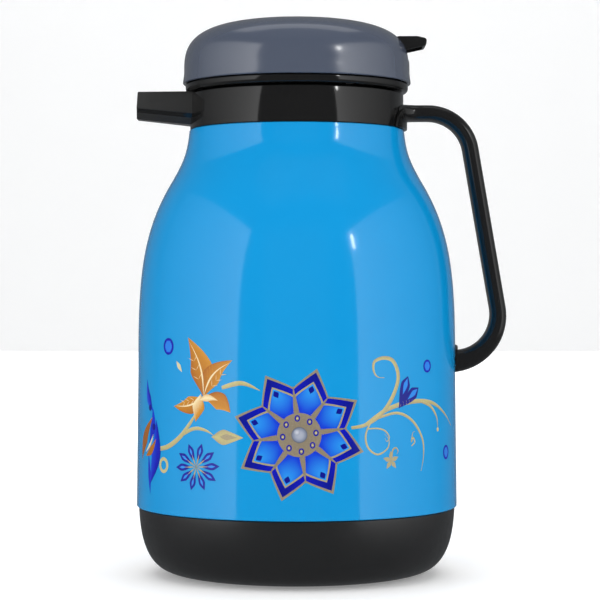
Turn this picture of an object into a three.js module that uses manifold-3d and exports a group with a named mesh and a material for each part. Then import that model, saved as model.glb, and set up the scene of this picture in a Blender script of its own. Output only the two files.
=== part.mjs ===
// A vacuum jug: a glass refill inside a moulded casing, with a pouring spout, a handle, and a screw-in
// stopper whose thumb lever lifts a spring-loaded valve.
//
// Millimetres, +Z up. The origin is on the jug's axis at the level that it stands on. -X is towards the
// spout, +X towards the handle.

import * as THREE from "three";
import { mergeVertices } from "three/addons/utils/BufferGeometryUtils.js";
import Module from "manifold-3d";

const wasm = await Module();
wasm.setup();

// ---------------------------------------------------------------- driving dimensions

const GAP = 0.3; // left between pieces that touch
const BIG_FACETS = 36; // round a casing
const FINE_FACETS = 20; // round a small turned piece
const TINY_FACETS = 10; // round a screw or a pin

const BASE_HEIGHT = 33;
const BASE_RADIUS = 78.6;
const FOOT_RADIUS = 52; // outer edge of the flat ring that the jug stands on
const BASE_WALL = 2.4;
const BASE_OVAL = { radial: 3.08, height: 2.22 }; // powers of the rounded side's superellipse
const CAP_OPENING_RADIUS = 39;

const SHELL_WALL = 2;
const SHELL_FOOT_RADIUS = 79.7;
const SHELL_SIDE = { radius: 79, height: 100 }; // the side starts to curve in here
const SHELL_SHOULDER = { radius: 62.97, height: 192.9, slope: 0.59 }; // the curve turns over here
const SHELL_NECK = { radius: 53.5, height: 220 };

const COLLAR_RADIUS = 53.2;
const COLLAR_BORE = 49.6;
const COLLAR_FLOOR = 222; // the ledge that the stopper's gasket seals on
const COLLAR_TOP = 237.8;

const PLUG_RADIUS = 46.5;
const PLUG_INNER_RADIUS = 44;
const PLUG_FLOOR = 225.4;
const FLANGE_RADIUS = 55.5;
const FLANGE_UNDERSIDE = 238.7;
const DECK_UNDERSIDE = 240.2;
const DECK_TOP = 242.6;
const VALVE_TUBE = { outer: 27, inner: 24.6, bottom: 208 };

const THREAD_STARTS = 4;
const THREAD_LEAD = 24; // rise of the stopper in one turn
const THREAD_ROUND = 1.6; // radius of the rounded thread
const THREAD_SWEEP = THREE.MathUtils.degToRad(50);
const THREAD_HEIGHT = 233.6; // middle of the collar's threads
const THREAD_DROP = 2.1; // the stopper's threads sit this far below the collar's

const DOME_RADIUS = 56.3;
const DOME_RIM = { radius: 56.95, height: 242.9 };
const DOME_SPRING_LINE = 248; // the side starts to round over here
const DOME_HEIGHT = 274.2;
const DOME_WALL = 2.2;
const DOME_OVAL = { radial: 3.32, height: 3.18 };

const PIVOT = { x: 34, z: 256 }; // the thumb lever's pin
const LEVER_HALF_WIDTH = 9;
const PIN_RADIUS = 1.5;
const CAM = { x: 0, z: 256.6, radius: 4 }; // the lever's inner end, under the stem's nut
const STEM_RADIUS = 2.8;

const HANDLE_TOP = 228.6;
const HANDLE_BOTTOM = 105;
const HANDLE_THICKNESS = 8;
const HANDLE_WIDTH = 19;
const HANDLE_LEAN = THREE.MathUtils.degToRad(9.7); // the grip's lean from the vertical
const HANDLE_TOP_CORNER = 83.6; // where the top bar and the grip would meet
const HANDLE_TOP_BEND = 21.5;
const HANDLE_BOTTOM_BEND = 23;

const SPOUT_TIP = 79.3;

// ---------------------------------------------------------------- shape helpers

// A closed three.js geometry as a manifold-3d solid that faces outwards.
function solid(geometry) {
  const loose = geometry.index ? geometry.toNonIndexed() : geometry;
  const bare = new THREE.BufferGeometry();
  bare.setAttribute("position", loose.getAttribute("position"));
  const merged = mergeVertices(bare, 1e-4);
  const corners = merged.index.array;
  const kept = [];
  for (let i = 0; i < corners.length; i += 3) {
    const [a, b, c] = [corners[i], corners[i + 1], corners[i + 2]];
    if (a !== b && b !== c && c !== a) kept.push([a, b, c]);
  }
  const make = (triangles) =>
    new wasm.Manifold(
      new wasm.Mesh({
        numProp: 3,
        vertProperties: merged.attributes.position.array,
        triVerts: new Uint32Array(triangles.flat()),
      }),
    );
  const made = make(kept);
  return made.volume() > 0 ? made : make(kept.map(([a, b, c]) => [a, c, b]));
}

// A solid of revolution about Z. The profile is a list of [radius, height].
function revolve(profile, facets = BIG_FACETS) {
  const points = profile.map(([r, z]) => new THREE.Vector2(r, z));
  const onAxis = profile[0][0] === 0 && profile.at(-1)[0] === 0;
  if (!onAxis) points.push(points[0].clone());
  return solid(new THREE.LatheGeometry(points, facets).rotateX(Math.PI / 2));
}

function drum(radius, bottom, top, x = 0, y = 0, facets = FINE_FACETS) {
  const geometry = new THREE.CylinderGeometry(radius, radius, top - bottom, facets);
  return solid(geometry.rotateX(Math.PI / 2).translate(x, y, (bottom + top) / 2));
}

function drumAlongY(radius, x, z, halfLength, facets = TINY_FACETS) {
  const geometry = new THREE.CylinderGeometry(radius, radius, 2 * halfLength, facets);
  return solid(geometry.translate(x, 0, z));
}

function drumAlongX(radius, start, end, z, facets = TINY_FACETS) {
  const geometry = new THREE.CylinderGeometry(radius, radius, end - start, facets);
  return solid(geometry.rotateZ(Math.PI / 2).translate((start + end) / 2, 0, z));
}

function block(x0, x1, y0, y1, z0, z1) {
  const geometry = new THREE.BoxGeometry(x1 - x0, y1 - y0, z1 - z0);
  return solid(geometry.translate((x0 + x1) / 2, (y0 + y1) / 2, (z0 + z1) / 2));
}

// A flat outline in the XZ plane, extruded evenly to both sides of it.
function plateXZ(outline, halfWidth) {
  const shape = new THREE.Shape(outline.map(([x, z]) => new THREE.Vector2(x, z)));
  const geometry = new THREE.ExtrudeGeometry(shape, { depth: 2 * halfWidth, bevelEnabled: false });
  return solid(geometry.rotateX(Math.PI / 2).translate(0, halfWidth, 0));
}

// A slice of a cylinder about Z, like a slice of cake.
function sector(radius, bottom, top, middle, halfAngle) {
  const from = middle - halfAngle;
  const shape = new THREE.Shape();
  shape.moveTo(0, 0);
  shape.lineTo(radius * Math.cos(from), radius * Math.sin(from));
  shape.absarc(0, 0, radius, from, middle + halfAngle, false);
  const options = { depth: top - bottom, bevelEnabled: false, curveSegments: 6 };
  return solid(new THREE.ExtrudeGeometry(shape, options).translate(0, 0, bottom));
}

// A closed skin over a row of rings that all have the same number of points.
function loft(rings) {
  const count = rings[0].length;
  const triangles = [];
  for (let i = 0; i + 1 < rings.length; i++) {
    for (let j = 0; j < count; j++) {
      const k = (j + 1) % count;
      triangles.push(rings[i][j], rings[i + 1][j], rings[i + 1][k]);
      triangles.push(rings[i][j], rings[i + 1][k], rings[i][k]);
    }
  }
  const first = rings[0];
  const last = rings.at(-1);
  for (let j = 1; j + 1 < count; j++) {
    triangles.push(first[0], first[j], first[j + 1]);
    triangles.push(last[0], last[j + 1], last[j]);
  }
  return solid(new THREE.BufferGeometry().setFromPoints(triangles));
}

class Helix extends THREE.Curve {
  constructor(radius, middleHeight, middleAngle, sweep, lead) {
    super();
    Object.assign(this, { radius, middleHeight, middleAngle, sweep, lead });
  }
  getPoint(t, target = new THREE.Vector3()) {
    const turned = (t - 0.5) * this.sweep;
    const angle = this.middleAngle + turned;
    const height = this.middleHeight + (this.lead * turned) / (2 * Math.PI);
    return target.set(this.radius * Math.cos(angle), this.radius * Math.sin(angle), height);
  }
}

function rodAlong(curve, radius, steps, sides) {
  const ring = Array.from({ length: sides }, (_, i) => {
    const angle = (2 * Math.PI * i) / sides;
    return new THREE.Vector2(radius * Math.cos(angle), radius * Math.sin(angle));
  });
  const options = { steps, extrudePath: curve, bevelEnabled: false };
  return solid(new THREE.ExtrudeGeometry(new THREE.Shape(ring), options));
}

// Points of a cubic Bezier curve from [radius, height] to [radius, height], without its first point.
function bezier(start, firstHold, lastHold, end, steps) {
  const curve = new THREE.CubicBezierCurve(
    ...[start, firstHold, lastHold, end].map(([r, z]) => new THREE.Vector2(r, z)),
  );
  return curve.getPoints(steps).slice(1).map((p) => [p.x, p.y]);
}

// A quarter of a superellipse from [centre + reach, level] to [centre, level + rise], both ends in.
function quarterOval(centre, reach, level, rise, powers, steps) {
  return Array.from({ length: steps + 1 }, (_, i) => {
    const angle = (Math.PI / 2) * (i / steps);
    const across = i === steps ? 0 : Math.cos(angle) ** (2 / powers.radial);
    return [centre + reach * across, level + rise * Math.sin(angle) ** (2 / powers.height)];
  });
}

const joined = (...solids) => wasm.Manifold.union(solids);

// ---------------------------------------------------------------- screws

// A pan-head screw along +Z, with its head's underside at height 0 and a cross recess.
function screw(headRadius, headHeight, shankRadius, length) {
  const profile = [
    [0, -headHeight],
    [headRadius * 0.7, -headHeight],
    [headRadius, -headHeight * 0.4],
    [headRadius, 0],
    [shankRadius, 0],
    [shankRadius, length - shankRadius],
    [0, length],
  ];
  const slotLength = headRadius * 0.6;
  const slotWidth = headRadius * 0.14;
  const slotDepth = -headHeight * 0.45;
  const cut = -headHeight - 1;
  return revolve(profile, TINY_FACETS)
    .subtract(block(-slotLength, slotLength, -slotWidth, slotWidth, cut, slotDepth))
    .subtract(block(-slotWidth, slotWidth, -slotLength, slotLength, cut, slotDepth));
}

// ---------------------------------------------------------------- base

function baseProfile(foot, radius, floor, steps) {
  return quarterOval(foot, radius - foot, BASE_HEIGHT, floor - BASE_HEIGHT, BASE_OVAL, steps);
}

const LUGS = 3;
const lugAngle = (i) => (2 * Math.PI * i) / LUGS;
const LEDGE_HALF_ANGLE = THREE.MathUtils.degToRad(25);
const LUG_HALF_ANGLE = THREE.MathUtils.degToRad(20);

function baseCup() {
  const spigotOuter = SHELL_FOOT_RADIUS - SHELL_WALL - 0.7;
  const spigotInner = spigotOuter - 2;
  const spigotTop = BASE_HEIGHT + 8;
  const bossOuter = CAP_OPENING_RADIUS + 2.5;
  const bossTop = 12;
  const cup = revolve([
    [CAP_OPENING_RADIUS, 0],
    ...baseProfile(FOOT_RADIUS, BASE_RADIUS, 0, 8).reverse(),
    [spigotOuter, BASE_HEIGHT],
    [spigotOuter, spigotTop],
    [spigotInner, spigotTop],
    ...baseProfile(FOOT_RADIUS - 1, spigotInner, BASE_WALL, 5),
    [bossOuter, BASE_WALL],
    [bossOuter, bossTop],
    [CAP_OPENING_RADIUS, bossTop],
  ]);
  const ledgeRing = revolve([
    [CAP_OPENING_RADIUS - 1.7, 4.5],
    [CAP_OPENING_RADIUS + 0.5, 4.5],
    [CAP_OPENING_RADIUS + 0.5, 7.5],
    [CAP_OPENING_RADIUS - 1.7, 7.5],
  ]);
  const ledges = Array.from({ length: LUGS }, (_, i) =>
    ledgeRing.intersect(sector(60, 0, 20, lugAngle(i), LEDGE_HALF_ANGLE)),
  );
  return joined(cup, ...ledges);
}

function bottomCap() {
  const discRadius = CAP_OPENING_RADIUS - 0.5;
  const wallOuter = CAP_OPENING_RADIUS - 2.1;
  const wallInner = wallOuter - 2.4;
  const cap = revolve([
    [0, 0],
    [discRadius, 0],
    [discRadius, 3],
    [wallOuter, 3],
    [wallOuter, 12],
    [wallInner, 12],
    [wallInner, 3.4],
    [0, 3.4],
  ]);
  const lugRing = revolve([
    [wallOuter - 0.5, 7.9],
    [discRadius, 7.9],
    [discRadius, 10.5],
    [wallOuter - 0.5, 10.5],
  ]);
  const lugs = Array.from({ length: LUGS }, (_, i) =>
    lugRing.intersect(sector(60, 0, 20, lugAngle(i), LUG_HALF_ANGLE)),
  );
  const gripBar = 4.5; // half the width of the bar left between the two finger pockets
  const pocket = drum(26, -1, 1.8, 0, 0, FINE_FACETS);
  const bar = block(-40, 40, -gripBar, gripBar, -2, 3);
  return joined(cap, ...lugs).subtract(pocket.subtract(bar));
}

function refillCushion() {
  return revolve([
    [9, 3.7],
    [34.2, 3.7],
    [34.2, 16],
    [31, 23.2],
    [9, 21.5],
  ]);
}

// ---------------------------------------------------------------- casing

// The outer shell's side from its foot to its neck, moved in by inset.
function shellSide(inset, lowerSteps, upperSteps) {
  const { radius: r, height: z, slope } = SHELL_SHOULDER;
  const side = [SHELL_SIDE.radius, SHELL_SIDE.height];
  const neck = [SHELL_NECK.radius, SHELL_NECK.height];
  const lowerHold = 26;
  const upperHold = 12.5;
  const lower = bezier(
    side,
    [side[0], side[1] + 42.5],
    [r + slope * lowerHold, z - lowerHold],
    [r, z],
    lowerSteps,
  );
  const upper = bezier(
    [r, z],
    [r - slope * upperHold, z + upperHold],
    [neck[0] + 1.2, neck[1] - 10.9],
    neck,
    upperSteps,
  );
  const foot = [SHELL_FOOT_RADIUS, BASE_HEIGHT + GAP];
  return [foot, side, ...lower, ...upper].map(([radius, height]) => [radius - inset, height]);
}

function outerShell() {
  const profile = [...shellSide(0, 6, 5), ...shellSide(SHELL_WALL, 4, 4).reverse()];
  return revolve(profile).subtract(drumAlongX(1.9, 70, 85, HANDLE_BOTTOM));
}

// ---------------------------------------------------------------- glass refill

const GLASS = 1.6;
const GLASS_FACETS = 28;
const GLASS_OVAL = { radial: 2.4, height: 2.4 };

function refillWall({ radius, bottom, bulge, sideTop, shoulder, shoulderHold, neck, inset }) {
  const floor = quarterOval(0, radius - inset, bottom + bulge, inset - bulge, GLASS_OVAL, 5);
  const from = [radius - inset, sideTop];
  const to = [shoulder[0] - inset, shoulder[1]];
  const curve = bezier(
    from,
    [radius - inset, sideTop + shoulderHold],
    [to[0] + shoulderHold * 0.6, to[1] - shoulderHold * 0.4],
    to,
    4,
  );
  return [...floor.reverse(), from, ...curve, [neck[0] - inset, neck[1]]];
}

function refillOuterWall() {
  const sizes = {
    radius: 69,
    bottom: 22,
    bulge: 30,
    sideTop: 148,
    shoulder: [38.5, 198],
    shoulderHold: 22,
    neck: [36, 205],
  };
  const top = 214.3;
  const sealTip = [
    [0, 14.5],
    [2.4, 15.6],
    [3.2, 19],
    [4.6, 21.9],
  ];
  const outside = refillWall({ ...sizes, inset: 0 }).slice(1);
  const inside = refillWall({ ...sizes, inset: GLASS }).reverse();
  const neckInner = sizes.neck[0] - GLASS;
  const profile = [...sealTip, ...outside, [sizes.neck[0], top], [neckInner, top], ...inside];
  return revolve(profile, GLASS_FACETS);
}

function refillInnerWall() {
  const sizes = {
    radius: 62.4,
    bottom: 28,
    bulge: 28,
    sideTop: 150,
    shoulder: [34.6, 195],
    shoulderHold: 19,
    neck: [31.8, 201],
  };
  const rim = [
    [31.8, 214.7],
    [35.8, 214.7],
    [36.3, 215.8],
    [35.4, 217],
    [31, 217],
    [30.2, 216.2],
  ];
  const outside = refillWall({ ...sizes, inset: 0 });
  const inside = refillWall({ ...sizes, inset: GLASS }).reverse();
  return revolve([...outside, ...rim, ...inside], GLASS_FACETS);
}

// One of the small pads that keep the two glass walls apart.
function glassPad(index) {
  const ring = revolve([
    [62.7, 62],
    [66.5, 62],
    [66.5, 70],
    [62.7, 70],
  ]);
  const halfAngle = THREE.MathUtils.degToRad(4);
  return ring.intersect(sector(80, 50, 80, (2 * Math.PI * (index + 0.5)) / 3, halfAngle));
}

function neckSeal() {
  return revolve([
    [30.6, 217.3],
    [38.2, 217.3],
    [38.2, 219.2],
    [30.6, 219.2],
  ]);
}

// ---------------------------------------------------------------- collar and spout

// The short rounded threads of the collar or of the stopper.
function threads(radius, middleHeight) {
  return Array.from({ length: THREAD_STARTS }, (_, i) => {
    const middle = ((i + 0.5) * 2 * Math.PI) / THREAD_STARTS;
    const line = new Helix(radius, middleHeight, middle, THREAD_SWEEP, THREAD_LEAD);
    return rodAlong(line, THREAD_ROUND, 6, 6);
  });
}

// The spout's cross-section at one place: a box above, a chamfer, and a narrower keel below.
function spoutRing(x, lean, [boxHalf, boxFloor], [chamferHalf, chamferFloor], [keelHalf, keel], top) {
  const side = [
    [boxHalf, top],
    [boxHalf, boxFloor],
    [chamferHalf, chamferFloor],
    [keelHalf, keel],
  ];
  const outline = [...side, ...side.map(([y, z]) => [-y, z]).reverse()];
  return outline.map(([y, z]) => new THREE.Vector3(x - lean * (top - z), y, z));
}

function spoutBody() {
  const top = 238.6;
  return loft([
    spoutRing(-SPOUT_TIP + 0.5, 0.07, [10, 230.6], [7.4, 228.6], [4.8, 225.5], top),
    spoutRing(-COLLAR_BORE, 0, [13, 227.6], [10.2, 225.4], [7.2, 222.3], top),
  ]);
}

function spoutChannel() {
  const wall = 2;
  const top = COLLAR_TOP + 3;
  return loft([
    spoutRing(-SPOUT_TIP - 3, 0, [10 - wall, 231.4], [5.6, 229.8], [3.6, 227.8], top),
    spoutRing(-COLLAR_BORE + 4, 0, [13 - wall, 230.8], [8, 228.2], [5.4, 224.4], top),
  ]);
}

function collar() {
  const skirtBottom = 209.5;
  const skirtRadius = SHELL_NECK.radius - SHELL_WALL - GAP;
  const shoulder = SHELL_NECK.height + GAP;
  const underside = COLLAR_FLOOR - 2.5;
  const ring = revolve([
    [COLLAR_RADIUS, shoulder],
    [COLLAR_RADIUS, COLLAR_TOP - 0.7],
    [COLLAR_RADIUS - 0.7, COLLAR_TOP],
    [COLLAR_BORE + 0.7, COLLAR_TOP],
    [COLLAR_BORE, COLLAR_TOP - 0.7],
    [COLLAR_BORE, COLLAR_FLOOR],
    [32.5, COLLAR_FLOOR],
    [32.5, underside],
    [38.6, underside],
    [38.6, 214.5],
    [40.6, 214.5],
    [40.6, underside],
    [skirtRadius - 2.6, underside],
    [skirtRadius - 2.6, skirtBottom],
    [skirtRadius, skirtBottom],
    [skirtRadius, shoulder],
  ]);
  const bore = drum(COLLAR_BORE, COLLAR_FLOOR, COLLAR_TOP + 5, 0, 0, BIG_FACETS);
  const spout = spoutBody().subtract(bore);
  const screwSeat = drumAlongX(3.5, COLLAR_BORE - 4, 51.5, HANDLE_TOP);
  const screwHole = drumAlongX(1.9, COLLAR_BORE - 4, COLLAR_RADIUS + 4, HANDLE_TOP);
  const wall = revolve([
    [COLLAR_BORE - 3, COLLAR_FLOOR],
    [COLLAR_RADIUS - 0.5, COLLAR_FLOOR],
    [COLLAR_RADIUS - 0.5, COLLAR_TOP - 0.5],
    [COLLAR_BORE - 3, COLLAR_TOP - 0.5],
  ]);
  const ridges = threads(COLLAR_BORE - 0.2, THREAD_HEIGHT).map((ridge) => ridge.intersect(wall));
  return joined(ring, spout, ...ridges)
    .subtract(spoutChannel())
    .subtract(screwSeat)
    .subtract(screwHole);
}

// ---------------------------------------------------------------- handle

// One rounded cross-section of the handle, where it runs in direction angle in the XZ plane.
function handleRing(x, z, angle, thickness, width) {
  const sides = 12;
  const power = 2 / 2.8;
  const bend = (value) => Math.sign(value) * Math.abs(value) ** power;
  return Array.from({ length: sides }, (_, i) => {
    const turn = (2 * Math.PI * (i + 0.5)) / sides;
    const out = (thickness / 2) * bend(Math.cos(turn));
    const across = (width / 2) * bend(Math.sin(turn));
    return new THREE.Vector3(x - out * Math.sin(angle), across, z + out * Math.cos(angle));
  });
}

function handleBar() {
  const topTurn = Math.PI / 2 - HANDLE_LEAN; // from level to the grip's direction
  const topStart = HANDLE_TOP_CORNER - HANDLE_TOP_BEND * Math.tan(topTurn / 2);
  const bottomTurn = Math.PI - topTurn;
  const drop = HANDLE_TOP - HANDLE_BOTTOM;
  const bottomCorner = HANDLE_TOP_CORNER + drop * Math.tan(HANDLE_LEAN);
  const bottomEnd = bottomCorner - HANDLE_BOTTOM_BEND * Math.tan(bottomTurn / 2);
  const rings = [];
  const flares = [
    [50, 38],
    [53, 33],
    [55, 27],
    [58, 22],
    [62, HANDLE_WIDTH],
  ];
  for (const [x, width] of flares) {
    rings.push(handleRing(x, HANDLE_TOP, 0, HANDLE_THICKNESS, width));
  }
  const arc = (centreX, centreZ, radius, from, sweep, steps, thicken) => {
    for (let i = 0; i <= steps; i++) {
      const angle = from - (sweep * i) / steps;
      const thickness = HANDLE_THICKNESS + (thicken * i) / steps;
      const x = centreX - radius * Math.sin(angle);
      const z = centreZ + radius * Math.cos(angle);
      rings.push(handleRing(x, z, angle, thickness, HANDLE_WIDTH));
    }
  };
  arc(topStart, HANDLE_TOP - HANDLE_TOP_BEND, HANDLE_TOP_BEND, 0, topTurn, 6, 0);
  arc(bottomEnd, HANDLE_BOTTOM + HANDLE_BOTTOM_BEND, HANDLE_BOTTOM_BEND, -topTurn, bottomTurn, 9, 3);
  return loft(rings);
}

function handle() {
  const seat = COLLAR_RADIUS + GAP;
  const arch = new THREE.Shape();
  arch.absellipse(0, 221, 24, 12.2, 0, Math.PI, false);
  const archOptions = { depth: 40, bevelEnabled: false, curveSegments: 7 };
  const archBlock = new THREE.ExtrudeGeometry(arch, archOptions);
  const archPrism = solid(archBlock.rotateX(Math.PI / 2).rotateZ(Math.PI / 2).translate(20, 0, 0));
  const saddleRing = revolve([
    [seat, SHELL_NECK.height + GAP],
    [seat + 1.5, SHELL_NECK.height + GAP],
    [seat + 1.5, COLLAR_TOP],
    [seat, COLLAR_TOP],
  ]);
  const shellFace = SHELL_SIDE.radius + GAP;
  const padRing = revolve([
    [shellFace, 99.2],
    [shellFace + 1.4, 99.6],
    [shellFace + 1.4, 112.4],
    [shellFace, 113.4],
  ]);
  const pad = padRing.intersect(block(70, 90, -10.5, 10.5, 95, 120));
  return joined(handleBar(), saddleRing.intersect(archPrism), pad)
    .subtract(drum(seat, 200, 240, 0, 0, BIG_FACETS))
    .subtract(drum(shellFace, 80, 120, 0, 0, BIG_FACETS))
    .subtract(drumAlongX(1.9, 40, 64, HANDLE_TOP))
    .subtract(drumAlongX(1.9, 70, 85.6, HANDLE_BOTTOM));
}

// ---------------------------------------------------------------- stopper

const DOME_SCREWS = 3;
const DOME_SCREW_CIRCLE = 51;
const domeScrewPlace = (i) => {
  const angle = (Math.PI / 3) * (2 * i + 1);
  return [DOME_SCREW_CIRCLE * Math.cos(angle), DOME_SCREW_CIRCLE * Math.sin(angle)];
};
const domeScrewPlaces = Array.from({ length: DOME_SCREWS }, (_, i) => domeScrewPlace(i));

function leverEar(side) {
  const outline = [
    [PIVOT.x - 7, DECK_TOP - 0.5],
    [PIVOT.x - 4.5, PIVOT.z + 2],
    [PIVOT.x - 2, PIVOT.z + 4.2],
    [PIVOT.x + 2, PIVOT.z + 4.2],
    [PIVOT.x + 4.5, PIVOT.z + 2],
    [PIVOT.x + 7, DECK_TOP - 0.5],
  ];
  return plateXZ(outline, 1.4).translate([0, side * 12.6, 0]);
}

function stopperBody() {
  const bore = STEM_RADIUS + 0.8;
  const glandRadius = 5.2;
  const guideRadius = 7;
  const guideTop = 249;
  const body = revolve([
    [bore, DECK_UNDERSIDE],
    [bore, guideTop - 2.7],
    [glandRadius, guideTop - 2.7],
    [glandRadius, guideTop],
    [guideRadius, guideTop],
    [guideRadius, DECK_TOP],
    [FLANGE_RADIUS - 0.5, DECK_TOP],
    [FLANGE_RADIUS, DECK_TOP - 0.5],
    [FLANGE_RADIUS, FLANGE_UNDERSIDE + 1.4],
    [FLANGE_RADIUS - 0.8, FLANGE_UNDERSIDE + 0.4],
    [FLANGE_RADIUS - 2, FLANGE_UNDERSIDE],
    [PLUG_RADIUS, FLANGE_UNDERSIDE],
    [PLUG_RADIUS, PLUG_FLOOR],
    [VALVE_TUBE.outer, PLUG_FLOOR],
    [VALVE_TUBE.outer, VALVE_TUBE.bottom],
    [VALVE_TUBE.inner, VALVE_TUBE.bottom],
    [VALVE_TUBE.inner, PLUG_FLOOR + 2.2],
    [PLUG_INNER_RADIUS, PLUG_FLOOR + 2.2],
    [PLUG_INNER_RADIUS, DECK_UNDERSIDE],
  ]);
  const ridges = threads(PLUG_RADIUS + 0.2, THREAD_HEIGHT - THREAD_DROP);
  const chamber = drum(PLUG_INNER_RADIUS + 1, PLUG_FLOOR + 2.2, DECK_UNDERSIDE, 0, 0, BIG_FACETS);
  const window = block(-PLUG_RADIUS - 4, -35, -12, 12, PLUG_FLOOR + 3.2, FLANGE_UNDERSIDE - 1);
  const threadsOnly = joined(...ridges).subtract(chamber);
  let stopper = joined(body, threadsOnly, leverEar(-1), leverEar(1))
    .subtract(window)
    .subtract(drumAlongY(PIN_RADIUS + GAP, PIVOT.x, PIVOT.z, 20));
  for (const [x, y] of domeScrewPlaces) {
    stopper = stopper
      .subtract(drum(1.9, 235, 250, x, y, TINY_FACETS))
      .subtract(drum(3.4, 235, DECK_UNDERSIDE + 0.6, x, y, TINY_FACETS));
  }
  return stopper;
}

function stopperGasket() {
  return revolve([
    [33.6, COLLAR_FLOOR + GAP],
    [43.4, COLLAR_FLOOR + GAP],
    [44, COLLAR_FLOOR + 1],
    [44, PLUG_FLOOR - GAP],
    [33, PLUG_FLOOR - GAP],
    [33, COLLAR_FLOOR + 1],
  ]);
}

// The ring that closes the valve tube and that the valve's seal rests on.
function valveSeat() {
  const top = VALVE_TUBE.bottom - GAP;
  return revolve(
    [
      [9.6, top - 3.1],
      [26.4, top - 3.1],
      [27, top - 2.5],
      [27, top],
      [24.3, top],
      [24.3, top + 5],
      [22.3, top + 5],
      [22.3, top],
      [10, top],
      [9, top - 1],
      [9, top - 2.5],
    ],
    FINE_FACETS + 4,
  );
}

const SEAL_BOTTOM = VALVE_TUBE.bottom;
const SPRING_SEAT = 218.2;

function valveStem() {
  const knobTop = SEAL_BOTTOM - GAP;
  return revolve(
    [
      [0, knobTop - 3.2],
      [4.4, knobTop - 3.2],
      [5, knobTop - 2.6],
      [5, knobTop - 0.4],
      [4.6, knobTop],
      [STEM_RADIUS, knobTop],
      [STEM_RADIUS, SEAL_BOTTOM + 3.3],
      [9.5, SEAL_BOTTOM + 3.3],
      [9.5, SEAL_BOTTOM + 4.9],
      [STEM_RADIUS, SEAL_BOTTOM + 6],
      [STEM_RADIUS, SPRING_SEAT - 1.7],
      [8.2, SPRING_SEAT - 1.7],
      [8.2, SPRING_SEAT],
      [STEM_RADIUS, SPRING_SEAT],
      [STEM_RADIUS, 258.8],
      [2.3, 259.4],
      [2.3, 265],
      [1.9, 265.4],
      [0, 265.4],
    ],
    TINY_FACETS + 2,
  );
}

function valveSeal() {
  return revolve(
    [
      [STEM_RADIUS + GAP, SEAL_BOTTOM],
      [12, SEAL_BOTTOM],
      [12.6, SEAL_BOTTOM + 0.8],
      [12.6, SEAL_BOTTOM + 2.2],
      [12, SEAL_BOTTOM + 3],
      [STEM_RADIUS + GAP, SEAL_BOTTOM + 3],
    ],
    FINE_FACETS,
  );
}

function stemSpring() {
  const wire = 0.6;
  const turns = 6;
  const bottom = SPRING_SEAT + GAP + wire;
  const top = DECK_UNDERSIDE - GAP - wire;
  const lead = (top - bottom) / turns;
  const coil = new Helix(6.2, (bottom + top) / 2, 0, 2 * Math.PI * turns, lead);
  return rodAlong(coil, wire, 66, 5);
}

function stemNut() {
  const bottom = CAM.z + CAM.radius + GAP;
  const nut = drum(5.6, bottom, bottom + 3.4, 0, 0, 6);
  return nut.subtract(drum(2.6, bottom - 1, bottom + 5, 0, 0, TINY_FACETS));
}

function stemSealRing() {
  const middle = 4.05;
  const section = Array.from({ length: 6 }, (_, i) => {
    const angle = (2 * Math.PI * i) / 6;
    return [middle + 0.9 * Math.cos(angle), 247.6 + 0.9 * Math.sin(angle)];
  });
  return revolve(section, FINE_FACETS);
}

function glandCap() {
  return revolve(
    [
      [3.3, 249.3],
      [7.4, 249.3],
      [7.4, 250.3],
      [6.8, 250.9],
      [3.3, 250.9],
    ],
    FINE_FACETS,
  );
}

// ---------------------------------------------------------------- lever

function thumbLever() {
  const outline = [
    [64.9, 263.6],
    [64.5, 265],
    [63, 265.9],
    [57, 266.4],
    [50, 266.4],
    [46, 265.4],
    [40, 261],
    [34, 260.6],
    [28, 259.6],
    [4, 259],
    [-4.2, 259],
    [-4.2, 254.4],
    [4, 254.2],
    [28, 253],
    [34, 251.4],
    [40, 253.4],
    [48, 257.8],
    [54, 259.6],
    [60, 261.2],
    [61.4, 261.2],
    [62, 260.6],
    [64.2, 260.5],
    [64.8, 261.6],
  ];
  const plate = plateXZ(outline, LEVER_HALF_WIDTH);
  const hub = drumAlongY(4.6, PIVOT.x, PIVOT.z, 10.8, FINE_FACETS - 8);
  const cam = drumAlongY(CAM.radius, CAM.x, CAM.z, 7, FINE_FACETS);
  const apron = block(50.2, 51.6, -8.6, 8.6, 252.4, 260);
  const armHalf = 7;
  const trim = (side) => {
    const edges = side < 0 ? [-20, -armHalf] : [armHalf, 20];
    return block(-10, 27, edges[0], edges[1], 240, 270);
  };
  const camLevel = block(-10, 12, -20, 20, CAM.z + 1.4, 270);
  const forkSlot = block(-10, 7.5, -3.4, 3.4, 240, 270);
  return joined(plate.subtract(camLevel), hub, cam, apron)
    .subtract(trim(-1))
    .subtract(trim(1))
    .subtract(forkSlot)
    .subtract(drumAlongY(PIN_RADIUS + GAP, PIVOT.x, PIVOT.z, 20));
}

function leverPin() {
  return drumAlongY(PIN_RADIUS, PIVOT.x, PIVOT.z, 15.4);
}

// ---------------------------------------------------------------- dome cap

function domeCap() {
  const rise = DOME_HEIGHT - DOME_SPRING_LINE;
  const oval = (inset, steps) =>
    quarterOval(0, DOME_RADIUS - inset, DOME_SPRING_LINE, rise - inset, DOME_OVAL, steps);
  const dome = revolve([
    [DOME_RIM.radius, DOME_RIM.height],
    ...oval(0, 9),
    ...oval(DOME_WALL, 6).reverse(),
    [DOME_RIM.radius - DOME_WALL, DOME_RIM.height],
  ]);
  const bosses = domeScrewPlaces.map(([x, y]) => drum(3.5, DOME_RIM.height + 0.2, 254, x, y, TINY_FACETS));
  let cap = joined(dome, ...bosses);
  for (const [x, y] of domeScrewPlaces) {
    cap = cap.subtract(drum(1.75, 240, 253, x, y, TINY_FACETS));
  }
  return cap.subtract(block(44, 62, -9.8, 9.8, 254.4, 267.4));
}

// ---------------------------------------------------------------- assembly

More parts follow.
